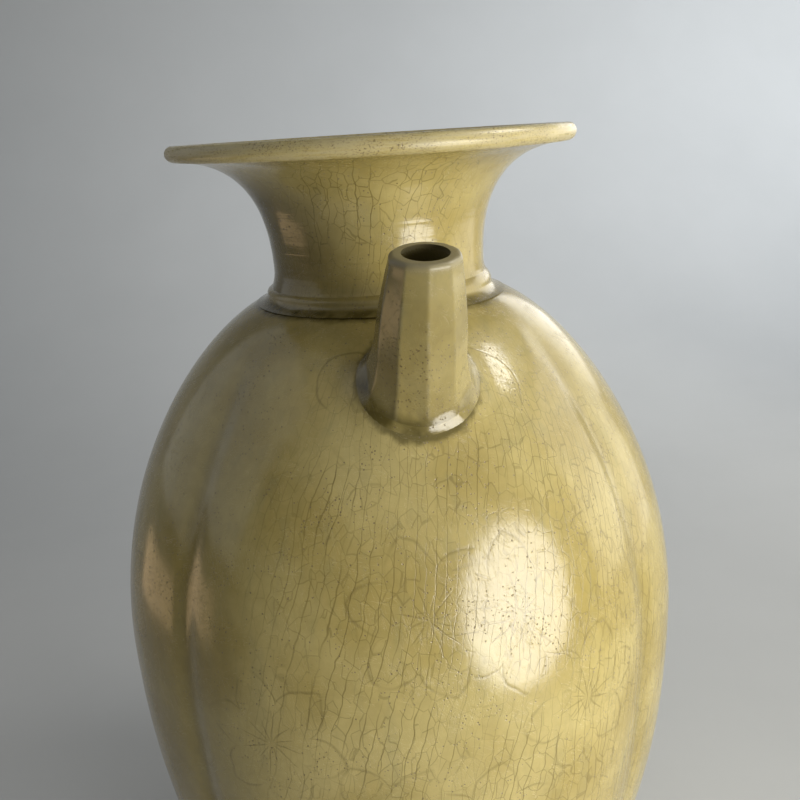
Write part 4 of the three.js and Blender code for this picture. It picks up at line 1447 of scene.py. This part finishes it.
incised_flower, given, result = start_tree("incised_flower", "ShaderNodeTree", {
    **PLANE, "Turn": 0.0, "Veins": 12.0, "Petals": 6.0, "Tip": 18.0, "Valley": 10.0, "Line Width": 0.42,
}, {"Line": "Float"})
away, turn, reach = seen_from_centre(given, 0.14, 2.4)
turn = turn + given["Turn"]
vein_half = math.pi / given["Veins"]
vein_turn = wrap(turn, vein_half)
vein_number = maths("ROUND", (turn - vein_turn) / vein_half)
vein_length = remap(random_at(combine(vein_number, given["Turn"], 0.0)), 0.0, 1.0, *VEIN_LENGTHS)
vein_width = given["Line Width"] * remap(away, 0.0, vein_length, *VEIN_TAPER)
vein = both(stroke(abs(vein_turn) * away, vein_width), remap(away, vein_length, vein_length - 1.5),
            remap(away, 0.3, 2.6, 0.15, 1.0))
petal_half = math.pi / given["Petals"]
to_valley = abs(wrap(turn, petal_half)) / petal_half
bulge = maths("SUBTRACT", 1.0, to_valley, clamp=True) ** PETAL_ROUNDNESS
outline = linear(bulge, given["Tip"] - given["Valley"], given["Valley"])
petal = stroke(abs(away - outline), given["Line Width"] * PETAL_STROKE)
petal = petal * remap(noise(given["Point"], 0.11, 1.0), 0.36, 0.56, 0.15, 0.85)
feed(result["Line"], either(vein, petal) * remap(reach, *FLOWER_FADE))

incised_arc, given, result = start_tree("incised_arc", "ShaderNodeTree", {
    **PLANE, "Radius": 8.0, "Start": 0.0, "Sweep": 3.0, "Line Width": 0.45,
}, {"Line": "Float"})
away, turn, reach = seen_from_centre(given, 0.1, 3.0)
half_sweep = given["Sweep"] * 0.5
off_middle = abs(wrap(turn - (given["Start"] + half_sweep), math.pi))
along = remap(off_middle, half_sweep, half_sweep - CURL_END)
line = stroke(abs(away - given["Radius"]), given["Line Width"])
feed(result["Line"], both(line, along, remap(reach, *CURL_FADE)))

# %% [markdown]
# ### Pinholes and iron specks
# Gas leaves tiny open pits in the glaze, in clusters, and iron in the clay burns through as brown dots.
# Both are round spots at random places: a Voronoi cell's centre is kept where a slow noise allows it.

# %% Build the specks
specks, given, result = start_tree("specks", "ShaderNodeTree", {
    "Point": "Vector", "Spacing": 1.2, "Size": 0.16, "Presence": 0.3,
}, {"Spot": "Float"})
squeezed = given["Point"].scaled(1.0 / given["Spacing"])
distance = add_node("ShaderNodeTexVoronoi", {"Vector": squeezed, "Scale": 1.0}, "Distance", feature="F1")
luck = add_node("ShaderNodeSeparateColor", {0: distance.also("Color")})
size = given["Size"] * remap(luck.also(1), 0.0, 1.0, 0.5, 1.3)
spot = remap(distance * given["Spacing"], size * 0.4, size, 1.0, 0.0, smooth=True)
feed(result["Spot"], spot * maths("LESS_THAN", luck, given["Presence"]))

# %% [markdown]
# ### The glaze itself
# Celadon gets its colour from a little iron in a thick clear glaze. Where it lies thick, in corners and
# furrows, it is dark olive. Where it is thin, on lips and edges, the grey-brown body shows. In between it
# is a warm yellow green with cloudy patches and faint runs down the wall.

# %% Build the glaze's colour
GLAZE_OLIVE = (0.235, 0.186, 0.06, 1)
GLAZE_PALE = (0.3, 0.249, 0.1, 1)
GLAZE_GREY = (0.2, 0.18, 0.085, 1)
GLAZE_POOL_AND_SHADE = (0.05, 0.039, 0.007, 1)
GLAZE_THIN = (0.243, 0.208, 0.111, 1)
CUT_DARK = (0.075, 0.055, 0.012, 1)
IRON_BROWN = (0.06, 0.032, 0.012, 1)
CLAY_DARK = (0.2, 0.12, 0.07, 1)
CLAY_LIGHT = (0.42, 0.31, 0.21, 1)
CLOUDS = {"scale": 0.035, "detail": 3.0, "roughness": 0.55}
RUNS = (0.22, 0.22, 0.028)  # noise drawn out down the wall
MOTTLE = {"scale": 0.45, "detail": 4.0, "roughness": 0.62}
RUNS_STRENGTH = 0.3
MOTTLE_STRENGTH = 0.13
POOL_AND_SHADE_STRENGTH = 0.92

# The pool input darkens towards the pool colour: thick pooled glaze, and on the pot's left side also painted
# shade.
glaze_depth, given, result = start_tree("glaze_depth", "ShaderNodeTree", {
    "Point": "Vector", "Pool": 0.0, "Thin": 0.0,
}, {"Color": "Color"})
cloud = noise(given["Point"], **CLOUDS)
runs = noise(given["Point"] * RUNS, 1.0, 3.0, 0.6)
mottle = noise(given["Point"], **MOTTLE)
colour = blend(remap(cloud, 0.36, 0.66, smooth=True), GLAZE_OLIVE, GLAZE_PALE)
colour = blend(remap(runs, 0.5, 0.75, smooth=True) * RUNS_STRENGTH, colour, GLAZE_GREY)
colour = blend(remap(mottle, 0.3, 0.7, 0.0, MOTTLE_STRENGTH), colour, GLAZE_POOL_AND_SHADE)
colour = blend(given["Pool"] * POOL_AND_SHADE_STRENGTH, colour, GLAZE_POOL_AND_SHADE)
feed(result["Color"], blend(given["Thin"], colour, GLAZE_THIN))

# %% [markdown]
# ### The fine skin
# Seen close, the gloss is not a mirror: it has a slight orange peel, hair scratches from use and a dulled
# grain. The group gives back a height for the bump and a value that roughens the gloss.

# %% Build the fine skin
PEEL_HEIGHT = 0.02
GRAIN_HEIGHT = 0.012
SCRATCH_DEPTH = 0.018
SCRATCH_WIDTH = 0.011
SCRATCH_DULL = 0.5
SCRATCH_STRETCHES = ((0.9, 0.07), (0.12, 0.75))  # noise drawn out to hairs, across and along

fine_skin, given, result = start_tree("fine_skin", "ShaderNodeTree", {
    "Point": "Vector", "Scratches": 0.5,
}, {"Height": "Float", "Dull": "Float"})
peel = noise(given["Point"], 0.5, 2.0)
grain = noise(given["Point"], 3.2, 3.0, 0.65)
height = linear(peel, PEEL_HEIGHT, grain * GRAIN_HEIGHT)
scratch = 0.0
for k, (across, up) in enumerate(SCRATCH_STRETCHES):
    lean = (0.35 + 0.5 * k, 0.25 - 0.6 * k, 0.4)
    leaning = add_node("ShaderNodeVectorRotate", {"Vector": given["Point"], "Rotation": lean},
                       rotation_type="EULER_XYZ")
    hairs = noise(leaning * (across, across, up), 1.6, 2.0)
    hair = remap(abs(hairs - 0.5), 0.0, SCRATCH_WIDTH, 1.0, 0.0)
    patch = remap(noise(given["Point"], 0.11 + 0.05 * k, 1.0), 0.48, 0.6)
    scratch = either(hair * patch, scratch)
scratch = scratch * given["Scratches"]
feed(result["Height"], linear(scratch, -SCRATCH_DEPTH, height))
feed(result["Dull"], linear(scratch, SCRATCH_DULL, remap(grain, 0.35, 0.7, 0.0, 0.1)))

# %% [markdown]
# ## The finishes
# Each material starts with the same steps: find the point, work out where glaze is thick or thin, colour
# it, then draw cracks, cuts and specks over it. One function does this, and each material gives it its own
# masks.

# %% Lay a glaze on a material
CRACK_WIDTH = 0.19
GLOSS_THICK = 0.1
GLOSS_THIN = 0.36
GLOSS_PIT = 0.3
GLAZE_IOR = 1.52
CELL_TONE = 0.04  # how much lighter or darker single cells of the crackle are
BARE_CLAY_GLOSS = 0.85
RELIEF = 0.8
DARKENING = {"long": 0.58, "short": 0.5, "cut": 0.45, "speck": 0.8}
DEPTHS = {"long": 0.016, "short": 0.014, "cut": 0.025, "pit": 0.06}  # in mm
PINHOLES = {"spacing": 0.72, "size": 0.22}
IRON_SPECKS = {"spacing": 5.2, "size": 0.32, "presence": 0.16}


def start_material(material):
    material.use_nodes = True
    tree = material.node_tree
    return tree, tree.nodes["Principled BSDF"], use_group(piece_point, tree)


def lay_glaze(shader, place, pool, thin, cuts=0.0, crackle=1.0, cell=(2.6, 4.2), small=0.75, pits=0.6,
              rings=0.0, count=176, spacing=2.7, slant=-0.08, crack_width=CRACK_WIDTH, tone=1.1,
              freckles=0.0, bare=None):
    """Joins colour, gloss and relief to a material's shader. Masks may be plain numbers or Values."""
    point = place["Point"]
    colour = use_group(glaze_depth, point=point, pool=pool, thin=thin)["Color"]
    seen = remap(noise(point, 0.06, 2.0), 0.34, 0.52, 0.4, 1.0) * crackle
    lines = use_group(long_cracks, point=point, azimuth=place["Azimuth"], height=place["Height"],
                      count=count, spacing=spacing, slant=slant, line_width=crack_width)
    long_line = seen * lines["Line"]
    net = use_group(crackle_net, point=point, cell_width=cell[0], cell_height=cell[1],
                    line_width=CRACK_WIDTH, presence=0.8, waviness=0.8)
    short_line = both(net["Line"], seen, small)
    colour = blend(long_line * DARKENING["long"], colour, CUT_DARK)
    colour = blend(short_line * DARKENING["short"], colour, CUT_DARK)
    colour = blend(cuts * DARKENING["cut"], colour, CUT_DARK)
    cell_tone = remap(net["Cell"], 0.0, 1.0, -CELL_TONE, CELL_TONE) + tone
    colour = add_node("ShaderNodeHueSaturation", {"Value": cell_tone, "Color": colour})
    cluster = remap(noise(point, 0.09, 2.0, 0.6), 0.46, 0.64)
    pit = use_group(specks, point=point, presence=(cluster + 0.06) * pits, **PINHOLES)["Spot"]
    iron = use_group(specks, point=point, **IRON_SPECKS)["Spot"]
    colour = blend(either(pit, iron, freckles) * DARKENING["speck"], colour, IRON_BROWN)
    skin = use_group(fine_skin, point=point, scratches=0.8)
    gloss = linear(thin, GLOSS_THIN - GLOSS_THICK, skin["Dull"]) + GLOSS_THICK
    gloss = linear(pit, GLOSS_PIT, gloss)
    height = skin["Height"]
    for line, depth in ((long_line, "long"), (short_line, "short"), (cuts, "cut"), (pit, "pit")):
        height = linear(line, -DEPTHS[depth], height)
    height = height + rings
    if bare is not None:
        grit = noise(point, 1.6, 4.0, 0.7)
        colour = blend(bare, colour, blend(grit, CLAY_DARK, CLAY_LIGHT))
        gloss = either(gloss, bare * BARE_CLAY_GLOSS)
        height = height + both(bare, grit, 0.25)
    shader.inputs["IOR"].default_value = GLAZE_IOR
    feed(shader.inputs["Base Color"], colour)
    feed(shader.inputs["Roughness"], gloss)
    relief = add_node("ShaderNodeBump", {"Strength": RELIEF, "Distance": MM, "Height": height})
    feed(shader.inputs["Normal"], relief)


def shade_toward_left(place):
    """Painted shade: a mask, strongest on the front left, that darkens the pools under the neck on the side
    away from the lamps.
    """
    return remap(maths("COSINE", place["Azimuth"] + 0.5), -0.2, 0.75, 0.28, 1.0)


# %% Glaze the body
FLOWERS = (
    # azimuth from the spout in degrees, height, turn
    (-32.0, 112.0, 0.2), (24.0, 114.5, 0.9), (11.5, 139.0, 0.5), (-4.0, 141.5, 1.3), (-13.0, 92.0, 0.1),
    (4.0, 88.0, 0.7), (78.0, 126.0, 0.3), (98.0, 104.0, 1.1), (158.0, 132.0, 0.6), (181.0, 108.0, 0.0),
    (-156.0, 136.0, 1.4), (-98.0, 106.0, 0.8), (-79.0, 130.0, 0.4),
)
CURLS = (
    # azimuth, height, radius, start and sweep of the two curls beside the spout
    (-19.0, 187.5, 7.6, 0.7, 3.6), (15.0, 184.0, 11.0, -0.7, 2.4),
)
UPRIGHT = (0.0, 0.0, 1.0)
POOL_AT_SPOUT = 0.85
POOL_IN_FURROW = 0.16
POOL_AT_FOOT = 0.6


def on_body(azimuth, height):
    """A point of the body's surface with its level and rising directions along the surface."""
    a = math.radians(azimuth)
    radius = radius_at(fine_outline, height)
    slope = radius_at(fine_outline, height + 0.5) - radius_at(fine_outline, height - 0.5)
    centre = Vector((radius * math.sin(a), -radius * math.cos(a), height))
    right = Vector((math.cos(a), math.sin(a), 0.0))
    up = Vector((slope * math.sin(a), -slope * math.cos(a), 1.0)).normalized()
    return centre, right, up


nearest_flower, given, result = start_tree("nearest_flower", "ShaderNodeTree", {"Point": "Vector"}, {
    "Centre": "Vector", "Right": "Vector", "Turn": "Float"})
nearest, centre, flower_turn = 1000.0, (0.0, 0.0, 0.0), 0.0
for azimuth, height, turn in FLOWERS:
    flower_place = on_body(azimuth, height)[0]
    away = vectors("DISTANCE", given["Point"], flower_place)
    nearer = maths("LESS_THAN", away, nearest)
    step = vectors("SUBTRACT", flower_place, centre, tree=nearest_flower).scaled(nearer)
    centre = vectors("ADD", centre, step)
    flower_turn = linear(nearer, turn - flower_turn, flower_turn)
    nearest = maths("MINIMUM", away, nearest)
feed(result["Centre"], centre)
feed(result["Turn"], flower_turn)
feed(result["Right"], vectors("NORMALIZE", vectors("CROSS_PRODUCT", UPRIGHT, centre)))

tree, shader, place = start_material(body_glaze)
flower = use_group(nearest_flower, point=place["Point"])
cuts = use_group(incised_flower, point=place["Point"], centre=flower["Centre"], right=flower["Right"],
                 up=UPRIGHT, turn=flower["Turn"])["Line"]
for azimuth, height, radius, start, sweep in CURLS:
    centre, right, up = on_body(azimuth, height)
    curl = use_group(incised_arc, point=place["Point"], centre=centre, right=right, up=up,
                     radius=radius, start=start, sweep=sweep)
    cuts = either(curl["Line"], cuts)
ragged = linear(noise(place["Point"], 0.3, 3.0), 3.0, -1.5)
from_neck = place["Radius"] - (SHOULDER_SEAT_RADIUS + 1.0) + ragged
on_shoulder = maths("GREATER_THAN", place["Height"], SHOULDER_Z - 10.0)
# Pooled glaze round the neck's foot, with painted shade making it darker on the left front, away from the
# lamps.
neck_pool_and_shade = both(remap(from_neck, 4.2, 1.8, smooth=True), on_shoulder, shade_toward_left(place))
from_spout = abs(attribute(tree, "spout_away") + ragged - 12.6)
pool_spout = remap(from_spout, 2.2, 0.4, smooth=True) * POOL_AT_SPOUT
pool_furrow = attribute(tree, "furrow") * POOL_IN_FURROW
pool_foot = remap(place["Height"] + ragged, BODY_Z + 6.0, BODY_Z + 1.0, 0.0, POOL_AT_FOOT)
pool = either(neck_pool_and_shade, pool_spout, pool_furrow, pool_foot)
in_front = remap(abs(place["Azimuth"] - 0.24), 0.98, 0.6)
behind = remap(abs(place["Azimuth"]), 1.7, 2.3, 0.0, 0.9)
crackled = either(in_front, behind) * remap(place["Radius"], 40.0, 60.0, 0.15, 1.0)
lay_glaze(shader, place, pool, 0.0, cuts=cuts, crackle=crackled)

# %% Glaze the neck
LIP_UNDERSIDE = RIM_RADIUS - LIP_OVERHANG
NECK_CRACKLE = {"cell": (2.8, 4.6), "small": 0.9, "count": 58, "spacing": 3.2, "slant": -0.05,
                "crack_width": 0.14}
# Painted light: the neck's glaze is brighter than the body's and the lip brighter still, for the light on the
# neck and on the lip's lit front and top. The lip is pale partly from its worn thin glaze and partly from
# this painted light.
NECK_TONE_WITH_PAINTED_LIGHT = 1.3
LIP_PALER_AND_LIT = 0.3
RING_HEIGHT = 0.12  # the throwing rings, in mm

neck_glaze = bpy.data.materials.new("neck_glaze")
tree, shader, place = start_material(neck_glaze)
point, height, azimuth = place["Point"], place["Height"], place["Azimuth"]
wobble = linear(noise(point, 0.5, 3.0), 1.6, -0.8)
on_lip = remap(place["Radius"] + wobble, LIP_UNDERSIDE - 0.3, LIP_UNDERSIDE + 0.7)
wear = remap(noise(point * (0.12, 0.12, 1.6), 1.0, 3.0, 0.6), 0.35, 0.65, 0.35, 1.0)
low = remap(height + wobble, NECK_Z + 0.2, NECK_Z + 2.6, 0.0, 0.35)
low = low * remap(height, NECK_Z + 7.0, NECK_Z + 2.0)
# Painted shade: the neck's left side is darkened towards the pool colour, for the shade on the side away from
# the lamps. Only the low band at the neck's foot is pooled glaze.
painted_shade_left = remap(azimuth, -0.5, -1.2, 0.0, 0.75) * remap(azimuth, -2.8, -2.0)
pool = either(low, painted_shade_left * remap(height, RIM_Z - 4.0, RIM_Z - 14.0))
front = remap(abs(azimuth + 0.05), 1.0, 0.6, 0.12, 1.0)
behind = remap(abs(azimuth), 1.8, 2.4)
crackled = either(front, behind) * maths("SUBTRACT", 1.0, on_lip)
dots = remap(noise(point * (1.0, 1.0, 1.7), 2.0, 3.0, 0.6), 0.54, 0.64)
dotted = remap(noise(point * (0.09, 0.09, 0.5), 1.0, 3.0, 0.6), 0.4, 0.62, 0.15, 0.95)
turning = noise(point * (0.01, 0.01, 0.8), 1.0, 2.0)
lay_glaze(shader, place, pool, on_lip * wear, crackle=crackled, freckles=both(dots, dotted, on_lip),
          tone=linear(on_lip, LIP_PALER_AND_LIT, NECK_TONE_WITH_PAINTED_LIGHT), rings=turning * RING_HEIGHT, **NECK_CRACKLE)

# %% Glaze the spout
tree, shader, place = start_material(spout_glaze)
along, arris = attribute(tree, "along"), attribute(tree, "arris")
at_mouth = remap(along, 0.93, 0.985)
on_arris = both(remap(arris, 0.7, 0.1), remap(noise(place["Point"], 0.5, 2.0), 0.35, 0.65), 0.45)
ragged = linear(noise(place["Point"], 0.35, 3.0), 3.4, -1.7)
at_root = remap(attribute(tree, "rise") + ragged, 3.6, 1.0)
# Painted shade: the pool at the spout's root is stronger on the spout's left, the side away from the lamps.
at_root = at_root * remap(place["Azimuth"], -0.04, 0.12, 0.85, 0.4)
lay_glaze(shader, place, at_root, either(at_mouth, on_arris), crackle=0.1, small=0.1, tone=0.87,
          pits=remap(along, 0.65, 0.3, 0.4, 2.4))

# %% Glaze the handle, the lutings and the foot
tree, shader, place = start_material(handle_glaze)
lay_glaze(shader, place, 0.0, 0.0, crackle=0.8)

luting_glaze = bpy.data.materials.new("luting_glaze")
tree, shader, place = start_material(luting_glaze)
patches = remap(noise(place["Point"], 0.25, 3.0), 0.35, 0.65, 0.5, 1.0)
on_seam = maths("GREATER_THAN", place["Height"], SHOULDER_Z - 3.0)
# Pooled glaze in the cove under the neck and at the spout's root, with painted shade: darker on the neck's
# front left and on the spout's left, the sides away from the lamps.
cove_pool_and_shade = remap(place["Height"], SHOULDER_Z + 1.0, SHOULDER_Z) * shade_toward_left(place)
shade_left_of_spout = remap(maths("SINE", place["Azimuth"]), -0.04, 0.12, 1.0, 0.5)
pool = patches * (on_seam * cove_pool_and_shade + maths("SUBTRACT", 1.0, on_seam) * shade_left_of_spout)
lay_glaze(shader, place, pool, 0.0, crackle=0.2, small=0.2, pits=1.4, tone=1.0)

foot_clay = bpy.data.materials.new("foot_clay")
tree, shader, place = start_material(foot_clay)
edge_height = linear(noise(place["Point"], 0.35, 3.0), 1.2, place["Height"])
lay_glaze(shader, place, 0.25, remap(edge_height, 2.6, 1.4), crackle=0.5, bare=remap(edge_height, 1.5, 1.1))

# %% Tint the sheet
SHEET_DARK = (0.41, 0.42, 0.425, 1)
SHEET_LIGHT = (0.45, 0.46, 0.465, 1)

pale_sheet = bpy.data.materials.new("pale_sheet")
tree, shader, place = start_material(pale_sheet)
fibre = noise(place["Point"], 0.012, 4.0, 0.6)
feed(shader.inputs["Base Color"], blend(fibre, SHEET_DARK, SHEET_LIGHT))
shader.inputs["Roughness"].default_value = 0.85
sheet.data.materials.append(pale_sheet)
sheet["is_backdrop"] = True

# %% [markdown]
# ## Put the pieces in their places
# Every skin takes the place of the CAD node it was made for, and all of them belong to the one body of the
# ewer, since nothing on it moves.

# %% Replace the CAD nodes
pieces = {
    "body": (body, body_glaze, "body_glaze"),
    "neck": (neck, neck_glaze, "neck_glaze"),
    "neck_luting": (neck_luting, luting_glaze, "luting_glaze"),
    "spout": (spout, spout_glaze, "spout_glaze"),
    "spout_luting": (spout_luting, luting_glaze, "luting_glaze"),
    "handle": (handle, handle_glaze, "handle_glaze"),
    "handle_upper_luting": (handle_upper_luting, luting_glaze, "luting_glaze"),
    "handle_lower_luting": (handle_lower_luting, luting_glaze, "luting_glaze"),
    "foot_ring": (foot_ring, foot_clay, "foot_clay"),
}
for node, (piece, material, slot) in pieces.items():
    if not piece.data.materials:
        piece.data.materials.append(material)
    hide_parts(node)
    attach(piece, "root")
    print(node, "is shown by", piece.name, "with", count_triangles(piece), "triangles")

# %% Finish
low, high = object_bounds()
print("visual box in mm:", rounded_mm((*low, *high), 2))
